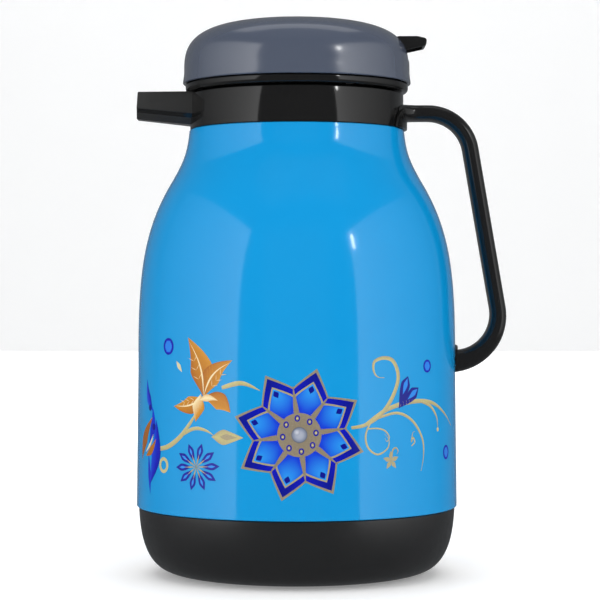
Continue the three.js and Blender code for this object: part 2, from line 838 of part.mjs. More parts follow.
const plastic = (color, roughness) => new THREE.MeshStandardMaterial({ color, roughness, metalness: 0 });
const blueGloss = plastic(0x1f9fe6, 0.15);
const blackSatin = plastic(0x242424, 0.35);
const greyGloss = plastic(0x4b5264, 0.2);
const silicone = plastic(0xd8d8d2, 0.6);
const rubber = plastic(0x2a2a2a, 0.8);
const mirror = { color: 0xd5dbe0, roughness: 0.05, metalness: 0.9 };
const silveredGlass = new THREE.MeshStandardMaterial(mirror);
const steel = new THREE.MeshStandardMaterial({ color: 0xb8b8b8, roughness: 0.3, metalness: 1 });

// A named mesh of a manifold-3d solid.
function node(name, made, material) {
  const { numProp, numVert, vertProperties, triVerts } = made.getMesh();
  const positions = new Float32Array(numVert * 3);
  for (let i = 0; i < numVert; i++) {
    positions.set(vertProperties.subarray(i * numProp, i * numProp + 3), i * 3);
  }
  const geometry = new THREE.BufferGeometry();
  geometry.setAttribute("position", new THREE.BufferAttribute(positions, 3));
  geometry.setIndex(new THREE.BufferAttribute(triVerts, 1));
  geometry.computeVertexNormals();
  const mesh = new THREE.Mesh(geometry, material);
  mesh.name = name;
  return mesh;
}

function group(...children) {
  return new THREE.Group().add(...children);
}

const sideways = [0, 90, 0]; // turns a screw from +Z to +X
const upperScrew = screw(3.1, 1.3, 1.6, 11.5).rotate(sideways).translate([51.2, 0, HANDLE_TOP]);
const lowerScrew = screw(3.4, 1.8, 1.6, 8.6).rotate(sideways).translate([76.6, 0, HANDLE_BOTTOM]);
const domeScrew = screw(3, 1.5, 1.4, 11);

const casing = group(
  node("base_cup", baseCup(), blackSatin),
  node("outer_shell", outerShell(), blueGloss),
  node("collar", collar(), blackSatin),
  node("handle", handle(), blackSatin),
  node("handle_screw_upper", upperScrew, steel),
  node("handle_screw_lower", lowerScrew, steel),
  node("refill_outer_wall", refillOuterWall(), silveredGlass),
  node("refill_inner_wall", refillInnerWall(), silveredGlass),
  ...[0, 1, 2].map((i) => node(`glass_pad_${i + 1}`, glassPad(i), silicone)),
  node("neck_seal", neckSeal(), silicone),
  node("refill_cushion", refillCushion(), rubber),
);

const cap = group(node("bottom_cap", bottomCap(), blackSatin));

const valve = group(
  node("valve_stem", valveStem(), blackSatin),
  node("valve_seal", valveSeal(), silicone),
  node("stem_nut", stemNut(), blackSatin),
);

const lever = group(node("thumb_lever", thumbLever(), blackSatin));

const stopper = group(
  node("stopper_body", stopperBody(), blackSatin),
  node("stopper_gasket", stopperGasket(), silicone),
  node("valve_seat", valveSeat(), blackSatin),
  node("stem_spring", stemSpring(), steel),
  node("stem_seal_ring", stemSealRing(), silicone),
  node("gland_cap", glandCap(), blackSatin),
  node("lever_pin", leverPin(), steel),
  node("dome_cap", domeCap(), greyGloss),
  ...domeScrewPlaces.map(([x, y], i) =>
    node(`dome_screw_${i + 1}`, domeScrew.translate([x, y, DECK_UNDERSIDE + GAP]), steel),
  ),
  lever,
  valve,
);

const jug = group(casing, cap, stopper);

export default jug;
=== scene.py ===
"""The looks of a vacuum jug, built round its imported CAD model.

Shapes are worked out in millimetres in the CAD's frame and made in metres: +Z up, -X towards the spout,
+X towards the handle. -Y is the front.
"""

from math import copysign, cos, hypot, pi, radians, sin, tan

import bmesh
import bpy
from mathutils import Matrix, Vector


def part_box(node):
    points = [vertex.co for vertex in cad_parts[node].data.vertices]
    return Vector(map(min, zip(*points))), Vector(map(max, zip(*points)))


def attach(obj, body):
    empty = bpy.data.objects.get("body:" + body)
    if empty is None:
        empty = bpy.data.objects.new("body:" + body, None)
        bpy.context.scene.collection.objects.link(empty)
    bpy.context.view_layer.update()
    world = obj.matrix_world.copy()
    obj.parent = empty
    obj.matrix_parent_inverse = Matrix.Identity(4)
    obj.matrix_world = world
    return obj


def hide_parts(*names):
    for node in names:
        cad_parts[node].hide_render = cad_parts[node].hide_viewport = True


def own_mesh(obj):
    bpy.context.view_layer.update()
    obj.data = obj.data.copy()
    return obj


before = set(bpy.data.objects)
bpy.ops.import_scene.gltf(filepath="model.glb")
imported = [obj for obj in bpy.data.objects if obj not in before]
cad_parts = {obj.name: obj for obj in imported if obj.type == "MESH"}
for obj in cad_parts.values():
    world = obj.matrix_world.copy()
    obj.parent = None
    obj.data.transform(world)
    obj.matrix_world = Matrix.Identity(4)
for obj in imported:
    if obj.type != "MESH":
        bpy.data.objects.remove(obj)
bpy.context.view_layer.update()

MM = 0.001
TURN = 2 * pi


def box_mm(node):
    """A CAD node's lowest and highest corners, in millimetres."""
    low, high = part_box(node)
    return low / MM, high / MM


# ---- camera

CAMERA_DISTANCE = 1.016
CAMERA_HEIGHT = 0.13545
CAMERA_SIDE = 0.0016
LENS_MM = 121.9

camera_data = bpy.data.cameras.new("camera")
camera_data.lens = LENS_MM
camera_data.sensor_width = 36
camera = bpy.data.objects.new("camera", camera_data)
camera.location = (CAMERA_SIDE, -CAMERA_DISTANCE, CAMERA_HEIGHT)
camera.rotation_euler = (radians(90), 0, 0)
bpy.context.collection.objects.link(camera)
bpy.context.scene.camera = camera
bpy.context.scene.view_settings.view_transform = "Standard"


# ---- materials


def add_node(tree, kind, inputs, **settings):
    """A new node. An input that is given another node's output is linked, and any other is set."""
    made = tree.nodes.new(f"ShaderNode{kind}")
    for setting, value in settings.items():
        setattr(made, setting, value)
    for name, value in inputs.items():
        if isinstance(value, bpy.types.NodeSocket):
            tree.links.new(value, made.inputs[name])
        else:
            made.inputs[name].default_value = value
    return made


def noise(tree, size, detail):
    """A noise that lies fixed in the object. Its output is mostly between 0.3 and 0.7."""
    place = add_node(tree, "TexCoord", {}).outputs["Object"]
    return add_node(tree, "TexNoise", {"Scale": size, "Detail": detail, "Vector": place}).outputs["Fac"]


def shader(name, colours, roughness, bump=(0.03, 900), **sockets):
    """A material whose colour and roughness wander a little, with a fine unevenness in its surface.

    colours is two colours that a soft noise mixes, roughness is a lowest and a highest value, and bump is
    the unevenness's strength and fineness. sockets are values set on the shader itself.
    """
    material = bpy.data.materials.new(name)
    material.use_nodes = True
    tree = material.node_tree
    principled = tree.nodes["Principled BSDF"]
    cloud_size = 60
    for socket, value in sockets.items():
        principled.inputs[socket.replace("_", " ")].default_value = value

    first, second = ((*colour, 1) for colour in colours)
    clouds = noise(tree, cloud_size, 3)
    mix = add_node(tree, "Mix", {"Factor": clouds, "A": first, "B": second}, data_type="RGBA")
    tree.links.new(mix.outputs["Result"], principled.inputs["Base Color"])

    low, high = roughness
    limits = {"From Min": 0.3, "From Max": 0.7, "To Min": low, "To Max": high}
    spread = add_node(tree, "MapRange", {"Value": noise(tree, cloud_size * 4, 4), **limits})
    tree.links.new(spread.outputs["Result"], principled.inputs["Roughness"])

    strength, fineness = bump
    grain = noise(tree, fineness, 2)
    uneven = add_node(tree, "Bump", {"Strength": strength, "Distance": 0.0002, "Height": grain})
    tree.links.new(uneven.outputs["Normal"], principled.inputs["Normal"])
    return material


LACQUER = {"Coat_Weight": 0.3, "Coat_Roughness": 0.02, "Specular_IOR_Level": 0.3}


def printed(name, stops, grain):
    """Printed ink, whose colour follows the mesh's "tint" from 0 to 1 along the stops. Grain roughens it."""
    material = shader(name, (stops[0][1], stops[-1][1]), (0.14, 0.19), **LACQUER)
    tree = material.node_tree
    tint = add_node(tree, "Attribute", {}, attribute_name="tint").outputs["Fac"]
    if grain:
        speckle = {0: noise(tree, 1400, 3), 1: grain, 2: tint}
        tint = add_node(tree, "Math", speckle, operation="MULTIPLY_ADD").outputs["Value"]
    ramp = add_node(tree, "ValToRGB", {"Fac": tint})
    elements = ramp.color_ramp.elements
    for element, (position, colour) in zip(elements, (stops[0], stops[-1])):
        element.position, element.color = position, (*colour, 1)
    for position, colour in stops[1:-1]:
        elements.new(position).color = (*colour, 1)
    tree.links.new(ramp.outputs["Color"], tree.nodes["Principled BSDF"].inputs["Base Color"])
    return material


shell_plastic = shader(
    "shell_plastic", ((0.002, 0.262, 0.59), (0.003, 0.275, 0.61)), (0.1, 0.14), (0.012, 260), **LACQUER
)
dome_plastic = shader(
    "dome_plastic", ((0.056, 0.069, 0.103), (0.062, 0.076, 0.112)), (0.2, 0.24), (0.003, 200),
    Coat_Weight=1.0, Coat_Roughness=0.16, Coat_IOR=1.6,
)
collar_plastic = shader(
    "collar_plastic", ((0.005, 0.005, 0.005), (0.007, 0.0067, 0.0065)), (0.06, 0.1), (0.01, 900)
)
spout_plastic = shader("spout_plastic", ((0.017, 0.017, 0.0165), (0.022, 0.0215, 0.021)), (0.3, 0.4))
base_plastic = shader(
    "base_plastic", ((0.0075, 0.0075, 0.008), (0.0105, 0.0105, 0.011)), (0.3, 0.38), (0.06, 1800),
    Specular_IOR_Level=0.75,
)
handle_plastic = shader(
    "handle_plastic", ((0.006, 0.006, 0.006), (0.009, 0.0087, 0.0087)), (0.14, 0.2), (0.02, 1600)
)
lever_plastic = shader(
    "lever_plastic", ((0.006, 0.006, 0.006), (0.009, 0.009, 0.009)), (0.08, 0.13), (0.01, 900)
)
inner_plastic = shader("inner_plastic", ((0.02, 0.02, 0.02), (0.03, 0.03, 0.03)), (0.4, 0.5), (0.05, 900))
silicone = shader(
    "silicone", ((0.62, 0.62, 0.58), (0.7, 0.7, 0.66)), (0.45, 0.6), (0.05, 900), Subsurface_Weight=0.2,
    Subsurface_Scale=0.004,
)
rubber = shader("rubber", ((0.02, 0.02, 0.02), (0.035, 0.034, 0.033)), (0.7, 0.85), (0.2, 900))
steel = shader("steel", ((0.5, 0.5, 0.5), (0.62, 0.62, 0.62)), (0.22, 0.36), (0.05, 900), Metallic=1.0)
silvered_glass = shader(
    "silvered_glass", ((0.75, 0.77, 0.8), (0.85, 0.87, 0.9)), (0.04, 0.1), (0.02, 120), Metallic=0.9,
    Coat_Weight=1.0, Coat_Roughness=0.01,
)


# ---- mesh helpers


def smooth(obj, sharp=32):
    """Shades an object smooth, except across edges sharper than that angle in degrees."""
    obj.data.shade_smooth()
    obj.data.set_sharp_from_angle(angle=radians(sharp))


def make(name, points, faces, sharp=32, tints=None):
    """A mesh object from points in millimetres, its doubled points merged and its faces turned outwards."""
    mesh = bpy.data.meshes.new(name)
    mesh.from_pydata([tuple(c * MM for c in p) for p in points], [], faces)
    if tints is not None:
        mesh.attributes.new("tint", "FLOAT", "POINT").data.foreach_set("value", tints)
    bm = bmesh.new()
    bm.from_mesh(mesh)
    bmesh.ops.remove_doubles(bm, verts=bm.verts, dist=1e-7)
    loose = [edge for edge in bm.edges if edge.is_wire]
    bmesh.ops.delete(bm, geom=loose, context="EDGES_FACES")
    bmesh.ops.recalc_face_normals(bm, faces=bm.faces)
    bm.to_mesh(mesh)
    bm.free()
    obj = bpy.data.objects.new(name, mesh)
    bpy.context.collection.objects.link(obj)
    smooth(obj, sharp)
    return obj


def rounded(outline, steps=3):
    """A closed outline of (x, y, corner radius) points, with each corner turned into an arc."""
    points = []
    for i, (x, y, radius) in enumerate(outline):
        corner = Vector((x, y))
        if radius <= 0:
            points.append((x, y))
            continue
        back = Vector(outline[i - 1][:2]) - corner
        ahead = Vector(outline[(i + 1) % len(outline)][:2]) - corner
        half = back.angle(ahead) / 2
        reach = min(radius / tan(half), 0.48 * back.length, 0.48 * ahead.length)
        radius = reach * tan(half)
        back.normalize()
        ahead.normalize()
        centre = corner + (back + ahead).normalized() * (radius / sin(half))
        first = corner + back * reach - centre
        last = corner + ahead * reach - centre
        sweep = first.angle(last)
        for k in range(steps + 1):
            t = k / steps
            arm = (first * sin((1 - t) * sweep) + last * sin(t * sweep)) / sin(sweep)
            points.append(tuple(centre + arm))
    return points


def grid_faces(rows, columns, close_rows=False, close_columns=False):
    """The faces of a grid of points, which may close on itself either way."""
    faces = []
    for i in range(rows if close_rows else rows - 1):
        for j in range(columns if close_columns else columns - 1):
            a, b = i, (i + 1) % rows
            c, d = j, (j + 1) % columns
            faces.append((a * columns + c, b * columns + c, b * columns + d, a * columns + d))
    return faces


def end_faces(rows, columns):
    """The first and the last row of a grid, each as one face."""
    return [tuple(range(columns)), tuple((rows - 1) * columns + j for j in range(columns))]


def turned(name, outline, segments=112):
    """A solid of revolution about Z from a closed outline of (radius, height)."""
    points = []
    for i in range(segments):
        angle = TURN * i / segments
        points += [(r * sin(angle), -r * cos(angle), z) for r, z in outline]
    return make(name, points, grid_faces(segments, len(outline), True, True))


def lofted(name, rings, sharp=40):
    """A skin over rings of equal length, closed by flat ends."""
    count = len(rings[0])
    points = [p for ring in rings for p in ring]
    faces = grid_faces(len(rings), count, False, True) + end_faces(len(rings), count)
    return make(name, points, faces, sharp)


def prism(name, outline, half_width):
    """An outline of (x, z) points, extruded evenly to both sides of the XZ plane."""
    return lofted(name, [[(x, side * half_width, z) for x, z in outline] for side in (-1, 1)], 30)


def moved(obj, x, y):
    """Moves an object's mesh sideways."""
    for vertex in obj.data.vertices:
        vertex.co.x += x * MM
        vertex.co.y += y * MM
    return obj


def drum(name, radius, low, high, centre=(0, 0), segments=48):
    """A cylinder that stands on a place in the XY plane."""
    outline = [(0, low), (radius, low), (radius, high), (0, high)]
    return moved(turned(name, outline, segments), *centre)


def brick(name, x0, x1, y0, y1, z0, z1):
    """A box between two values of x, of y and of z."""
    return lofted(name, [[(x0, y0, z), (x1, y0, z), (x1, y1, z), (x0, y1, z)] for z in (z0, z1)])


def lying(name, radius, start, end, axis, place, segments=32):
    """A drum from start to end along X or Y, with place its other two coordinates."""
    rings = []
    for along in (start, end):
        ring = []
        for k in range(segments):
            a, b = radius * cos(TURN * k / segments), radius * sin(TURN * k / segments)
            other = (place[0] + a, place[1] + b)
            ring.append((along, *other) if axis == "X" else (other[0], along, other[1]))
        rings.append(ring)
    return lofted(name, rings)


def applied(obj):
    """Makes an object's modifiers part of its mesh."""
    evaluated = obj.evaluated_get(bpy.context.evaluated_depsgraph_get())
    mesh = bpy.data.meshes.new_from_object(evaluated)
    obj.modifiers.clear()
    obj.data = mesh


def combine(obj, operation, tools):
    for tool in tools:
        modifier = obj.modifiers.new("combine", "BOOLEAN")
        modifier.solver = "EXACT"
        modifier.operation = operation
        modifier.object = tool
        applied(obj)
        bpy.data.objects.remove(tool)
    smooth(obj)


def add(obj, *tools):
    """Joins tools to an object, and uses them up."""
    combine(obj, "UNION", tools)


def cut(obj, *tools):
    """Cuts tools out of an object, and uses them up."""
    combine(obj, "DIFFERENCE", tools)


def softened(obj, width, steps=2, angle=30):
    """Rounds an object's edges."""
    modifier = obj.modifiers.new("soften", "BEVEL")
    modifier.width = width * MM
    modifier.segments = steps
    modifier.limit_method = "ANGLE"
    modifier.angle_limit = radians(angle)
    applied(obj)
    smooth(obj)
    return obj


def finished(obj, material, body, slot, *nodes):
    """Gives a piece its material, the body it rides on and the CAD nodes it stands for. Its slot is not used.
    """
    obj.data.materials.clear()
    obj.data.materials.append(material)
    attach(obj, body)
    if nodes:
        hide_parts(*nodes)


def bezier(start, first_hold, last_hold, end, steps):
    """Points of a cubic curve, without its first point."""
    points = []
    for k in range(1, steps + 1):
        t = k / steps
        weights = ((1 - t) ** 3, 3 * t * (1 - t) ** 2, 3 * t * t * (1 - t), t**3)
        holds = (start, first_hold, last_hold, end)
        points.append(tuple(sum(w * p[i] for w, p in zip(weights, holds)) for i in range(2)))
    return points


def quarter_oval(centre, reach, level, rise, radial_power, height_power, steps):
    """A quarter of a superellipse from (centre + reach, level) to (centre, level + rise)."""
    points = []
    for k in range(steps + 1):
        angle = TURN / 4 * k / steps
        across = 0 if k == steps else cos(angle) ** (2 / radial_power)
        points.append((centre + reach * across, level + rise * sin(angle) ** (2 / height_power)))
    return points


# ---- casing

base_high = box_mm("base_cup")[1]
shell_low, shell_high = box_mm("outer_shell")
collar_low, collar_high = box_mm("collar")
cap_high = box_mm("bottom_cap")[1]
dome_low, dome_high = box_mm("dome_cap")

BASE_TOP = shell_low.z - 0.3
BASE_RADIUS = base_high.y
BASE_WALL = 2.4
BASE_BEND = 41.4
BASE_FLAT = 42.3
BASE_ROUNDNESS = (4.67, 2.59)
SHELL_WALL = 2.0
CAP_OPENING = cap_high.y + 0.5
SPIGOT = shell_high.y - SHELL_WALL - 0.7


def base_side(inset, floor, steps):
    """The base's rounded side, from its top edge down to its floor."""
    reach = BASE_RADIUS + 0.2 - BASE_FLAT
    side = quarter_oval(BASE_FLAT - inset, reach, BASE_BEND, floor - BASE_BEND, *BASE_ROUNDNESS, steps)
    return [(r, z) for r, z in side if z < BASE_TOP - 0.4]


def build_base():
    """The base cup, with the spigot that holds the shell and the ledges that hold the bottom cap."""
    outside = base_side(0, 0, 40)
    inside = base_side(BASE_WALL, BASE_WALL, 30)
    rim = outside[0][0]
    outline = [(CAP_OPENING, 0.4), (CAP_OPENING + 0.4, 0)]
    outline += outside[::-1]
    outline += [(rim, BASE_TOP - 0.35), (rim - 0.3, BASE_TOP - 0.05)]
    outline += [(SPIGOT, BASE_TOP - 0.05), (SPIGOT, base_high.z - 0.8), (SPIGOT - 0.8, base_high.z)]
    outline += [(SPIGOT - 2, base_high.z), (SPIGOT - 2, BASE_TOP - 1)]
    outline += [(r, z) for r, z in inside if r < SPIGOT - 2.2]
    outline += [(CAP_OPENING + 2.5, BASE_WALL), (CAP_OPENING + 2.5, 12), (CAP_OPENING, 12)]
    base = turned("base", outline)
    for k in range(3):
        add(base, ring_sector("ledge", CAP_OPENING - 1.7, CAP_OPENING + 0.5, 4.5, 7.5, TURN * k / 3, 25))
    finished(base, base_plastic, "jug", "black_plastic", "base_cup")


def swept(name, section_at, half_angle, steps, middle=0, sharp=40):
    """A skin round Z, as far as half_angle to both sides of the middle angle from +X.

    section_at(share) is its (radius, height) section, where share goes from -1 to 1 along the way.
    """
    rings = []
    for k in range(steps + 1):
        share = 2 * k / steps - 1
        angle = middle + half_angle * share
        rings.append([(r * cos(angle), r * sin(angle), z) for r, z in section_at(share)])
    return lofted(name, rings, sharp)


def ring_sector(name, inner, outer, low, high, middle, half_degrees, steps=14):
    """Part of a ring with a rectangular section."""
    corners = [(inner, low), (outer, low), (outer, high), (inner, high)]
    return swept(name, lambda share: corners, radians(half_degrees), steps, middle)


def build_bottom_cap():
    """The cap with its three lugs, and a grip bar between two finger pockets."""
    radius = cap_high.y
    wall = CAP_OPENING - 2.1
    outline = rounded(
        [
            (0, 0, 0), (radius, 0, 0.5), (radius, 3, 0.3), (wall, 3, 0), (wall, 12, 0.4),
            (wall - 2.4, 12, 0.4), (wall - 2.4, 3.4, 0.6), (0, 3.4, 0),
        ]
    )
    cap = turned("bottom_cap_visual", outline)
    for k in range(3):
        add(cap, ring_sector("lug", wall - 0.5, radius, 7.9, 10.5, TURN * k / 3, 20))
    pocket = drum("pocket", 26, -1, 1.8, segments=72)
    cut(pocket, brick("bar", -40, 40, -4.5, 4.5, -2, 3))
    cut(cap, pocket)
    finished(cap, base_plastic, "bottom_cap", "black_plastic", "bottom_cap")


SIDE_TOP = (shell_high.y - 0.7, 100)
SHOULDER = (62.97, 192.9)
NECK = (53.5, shell_high.z)


def shell_outline():
    """The shell's outside, from its lower edge up to its neck."""
    steps = 28
    foot = (shell_high.y, shell_low.z)
    lower = bezier(SIDE_TOP, (79, 142.5), (78.31, 166.9), SHOULDER, steps)
    upper = bezier(SHOULDER, (55.6, 205.4), (54.7, 209.5), NECK, steps)
    straight = [tuple(low + (high - low) * k / 8 for low, high in zip(foot, SIDE_TOP)) for k in range(9)]
    return straight + lower + upper


def build_shell():
    """The blue shell, with a hole for the handle's lower screw."""
    outside = shell_outline()
    first, last = outside[0], outside[-1]
    edge = 0.35
    skin = [(first[0] - edge, first[1]), (first[0], first[1] + edge), *outside[1:-1]]
    skin += [(last[0], last[1] - edge), (last[0] - edge, last[1])]
    inside = [(r - SHELL_WALL, z) for r, z in outside][::-1]
    shell = turned("shell", skin + inside, 144)
    cut(shell, lying("hole", 1.9, 70, 85, "X", (0, 105)))
    finished(shell, shell_plastic, "jug", "shell_plastic", "outer_shell")


# ---- collar, spout and handle

COLLAR_RADIUS = collar_high.y
COLLAR_BORE = 49.6
COLLAR_FLOOR = 222
COLLAR_TOP = 237.8
COLLAR_FOOT = shell_high.z + 0.3
SPOUT_TOP = collar_high.z
SPOUT_TIP = -collar_low.x - 0.4
HANDLE_TOP = 228.6
HANDLE_BOTTOM = 105


def spout_ring(x, lean, box, chamfer, keel, top):
    """The spout's cross-section at one place: a box above, a chamfer, and a narrower keel below."""
    side = [(box[0], top), box, chamfer, keel]
    outline = side + [(-y, z) for y, z in reversed(side)]
    return [(x - lean * (top - z), y, z) for y, z in outline]


def helix_rod(name, radius, height, middle, sweep, lead, rod_radius, steps, sides, squeeze=1.0):
    """A rod along a helix about Z, whose ends thin out to a share of its radius, given as squeeze."""
    rings = []
    for k in range(steps + 1):
        turned_by = (k / steps - 0.5) * sweep
        angle = middle + turned_by
        z = height + lead * turned_by / TURN
        end = min(k, steps - k) / max(1, steps * 0.12)
        thick = rod_radius * (squeeze + (1 - squeeze) * min(1, end))
        ring = []
        for j in range(sides):
            a = TURN * j / sides
            r = radius + thick * cos(a)
            ring.append((r * cos(angle), r * sin(angle), z + thick * sin(a)))
        rings.append(ring)
    return lofted(name, rings, 50)


THREAD_LEAD = 24
THREAD_ROUND = 1.6
THREAD_HEIGHT = 233.6
THREAD_DROP = 2.1


def thread(radius, height):
    """The four ridges of a thread."""
    sweep = radians(50)
    return [
        helix_rod(
            "ridge", radius, height, TURN * (k + 0.5) / 4, sweep, THREAD_LEAD, THREAD_ROUND, 20, 14, 0.55
        )
        for k in range(4)
    ]


def build_collar():
    """The collar with its thread, and the open spout that is moulded in one with it."""
    floor = COLLAR_FLOOR - 2.5
    skirt = shell_high.z - 11
    skirt_radius = NECK[0] - SHELL_WALL - 0.3
    outline = rounded(
        [
            (COLLAR_RADIUS, COLLAR_FOOT, 0.3), (COLLAR_RADIUS, COLLAR_TOP, 0.7),
            (COLLAR_BORE, COLLAR_TOP, 0.7), (COLLAR_BORE, COLLAR_FLOOR, 0.8), (32.5, COLLAR_FLOOR, 0.5),
            (32.5, floor, 0.4), (38.6, floor, 0), (38.6, 214.5, 0.4), (40.6, 214.5, 0.4), (40.6, floor, 0),
            (skirt_radius - 2.6, floor, 0.5), (skirt_radius - 2.6, skirt, 0.4), (skirt_radius, skirt, 0.6),
            (skirt_radius, COLLAR_FOOT, 0),
        ]
    )
    collar = turned("collar_visual", outline, 144)
    tip = spout_ring(0.5 - SPOUT_TIP, 0.07, (10, 230.6), (7.4, 228.6), (4.8, 225.5), SPOUT_TOP)
    root = spout_ring(-COLLAR_BORE, 0, (13, 227.6), (10.2, 225.4), (7.2, 222.3), SPOUT_TOP)
    spout = lofted("spout", [tip, root])
    softened(spout, 0.35, 3)
    cut(spout, drum("bore", COLLAR_BORE + 1, 210, 250, segments=144))
    add(collar, spout)
    add(collar, *thread(COLLAR_BORE - 0.2, THREAD_HEIGHT))
    mouth = spout_ring(-SPOUT_TIP - 3, 0, (8, 231.4), (5.6, 229.8), (3.6, 227.8), COLLAR_TOP + 3)
    throat = spout_ring(4 - COLLAR_BORE, 0, (11, 230.8), (8, 228.2), (5.4, 224.4), COLLAR_TOP + 3)
    cut(
        collar,
        lofted("channel", [mouth, throat]),
        lying("seat", 3.5, COLLAR_BORE - 4, 51.5, "X", (0, HANDLE_TOP)),
        lying("hole", 1.9, COLLAR_BORE - 4, COLLAR_RADIUS + 4, "X", (0, HANDLE_TOP)),
    )
    finished(collar, collar_plastic, "jug", "black_plastic", "collar")
    # The spout is duller than the collar's ring, except on its level faces.
    collar.data.materials.append(spout_plastic)
    for face in collar.data.polygons:
        on_spout = face.center.x < -(COLLAR_RADIUS + 0.4) * MM
        level = abs(face.normal.z) > 0.72
        if on_spout and not level:
            face.material_index = 1


def section(x, z, angle, thickness, width):
    """A rounded cross-section of the handle, where it runs at that angle in the XZ plane."""
    power, sides = 2.8, 28
    ring = []
    for k in range(sides):
        turn = TURN * (k + 0.5) / sides
        c, s = cos(turn), sin(turn)
        out = thickness / 2 * copysign(abs(c) ** (2 / power), c)
        across = width / 2 * copysign(abs(s) ** (2 / power), s)
        ring.append((x - out * sin(angle), across, z + out * cos(angle)))
    return ring


def build_handle():
    """One bar: out from the collar, round a bend, down the leaning grip and back to the shell's side."""
    lean = radians(9.7)
    corner, bend_top, bend_bottom, thick, width = 83.6, 21.5, 23, 8, 19
    top_turn = TURN / 4 - lean
    bottom_turn = TURN / 2 - top_turn
    top_start = corner - bend_top * tan(top_turn / 2)
    bottom_corner = corner + (HANDLE_TOP - HANDLE_BOTTOM) * tan(lean)
    bottom_end = bottom_corner - bend_bottom * tan(bottom_turn / 2)
    rings = []
    root = 50
    for k in range(13):
        flare = (1 - k / 12) ** 2.6
        rings.append(section(root + k, HANDLE_TOP, 0, thick + 0.6 * flare, width + 19 * flare))
    steps = 20
    for k in range(steps + 1):
        angle = -top_turn * k / steps
        x = top_start - bend_top * sin(angle)
        rings.append(section(x, HANDLE_TOP - bend_top * (1 - cos(angle)), angle, thick, width))
    fall = bend_top * (1 - cos(top_turn))
    high = Vector((top_start + bend_top * sin(top_turn), HANDLE_TOP - fall))
    low = Vector((bottom_end, HANDLE_BOTTOM + bend_bottom))
    low += bend_bottom * Vector((sin(top_turn), cos(top_turn)))
    for k in range(1, 16):
        place = high.lerp(low, k / 16)
        rings.append(section(place.x, place.y, -top_turn, thick, width))
    for k in range(steps + 11):
        t = k / (steps + 10)
        angle = -top_turn - bottom_turn * t
        x = bottom_end - bend_bottom * sin(angle)
        z = HANDLE_BOTTOM + bend_bottom * (1 + cos(angle))
        rings.append(section(x, z, angle, thick + 3.4 * t**1.6, width + 0.4 * t))
    bar = lofted("handle_visual", rings, 50)
    seat = COLLAR_RADIUS + 0.3
    side = shell_high.y - 0.4
    add(bar, arch_foot(seat), side_foot(side))
    cut(
        bar,
        drum("seat", seat, 200, 245, segments=144),
        drum("side", side, 80, 125, segments=144),
        lying("hole", 1.9, 40, 64, "X", (0, HANDLE_TOP)),
        lying("hole", 1.9, 70, 85.6, "X", (0, HANDLE_BOTTOM)),
    )
    finished(bar, handle_plastic, "jug", "black_plastic", "handle")


def arch_foot(seat):
    """The arched plate that the handle's top bar spreads into, on the collar."""

    def plate(share):
        rise = 1 - share**2
        top = COLLAR_FOOT + 1.2 + 11 * rise**0.5
        face = seat + 0.35 + 1.25 * rise**0.6
        return [(seat - 1, COLLAR_FOOT), (face, COLLAR_FOOT), (face, top - 0.5), (seat - 1, top + 0.2)]

    return swept("arch", plate, 24 / seat, 32, sharp=30)


def side_foot(side):
    """The handle's lower foot on the shell, pointed at its top."""

    def plate(share):
        peak = 111.6 + 2.1 * (1 - abs(share))
        return [(side - 1, 99.8), (side + 1, 99.8), (side + 1, peak - 0.9), (side - 1, peak)]

    return swept("side_foot", plate, 9.9 / side, 24, sharp=30)


# ---- stopper

pin_low, pin_high = box_mm("lever_pin")
pin = (pin_low + pin_high) / 2

LEVER_TIP = box_mm("thumb_lever")[1].x
FLANGE = box_mm("stopper_body")[1].y
DECK_TOP = 242.6
DECK = 240.2
FLANGE_LOW = 238.7
PLUG = 46.5
PLUG_INNER = 44
PLUG_FLOOR = 225.4
TUBE_BOTTOM = 208


def screw_places():
    """Where the dome's three screws stand."""
    angles = [TURN * (2 * k + 1) / 6 for k in range(3)]
    return [(51 * cos(angle), 51 * sin(angle)) for angle in angles]


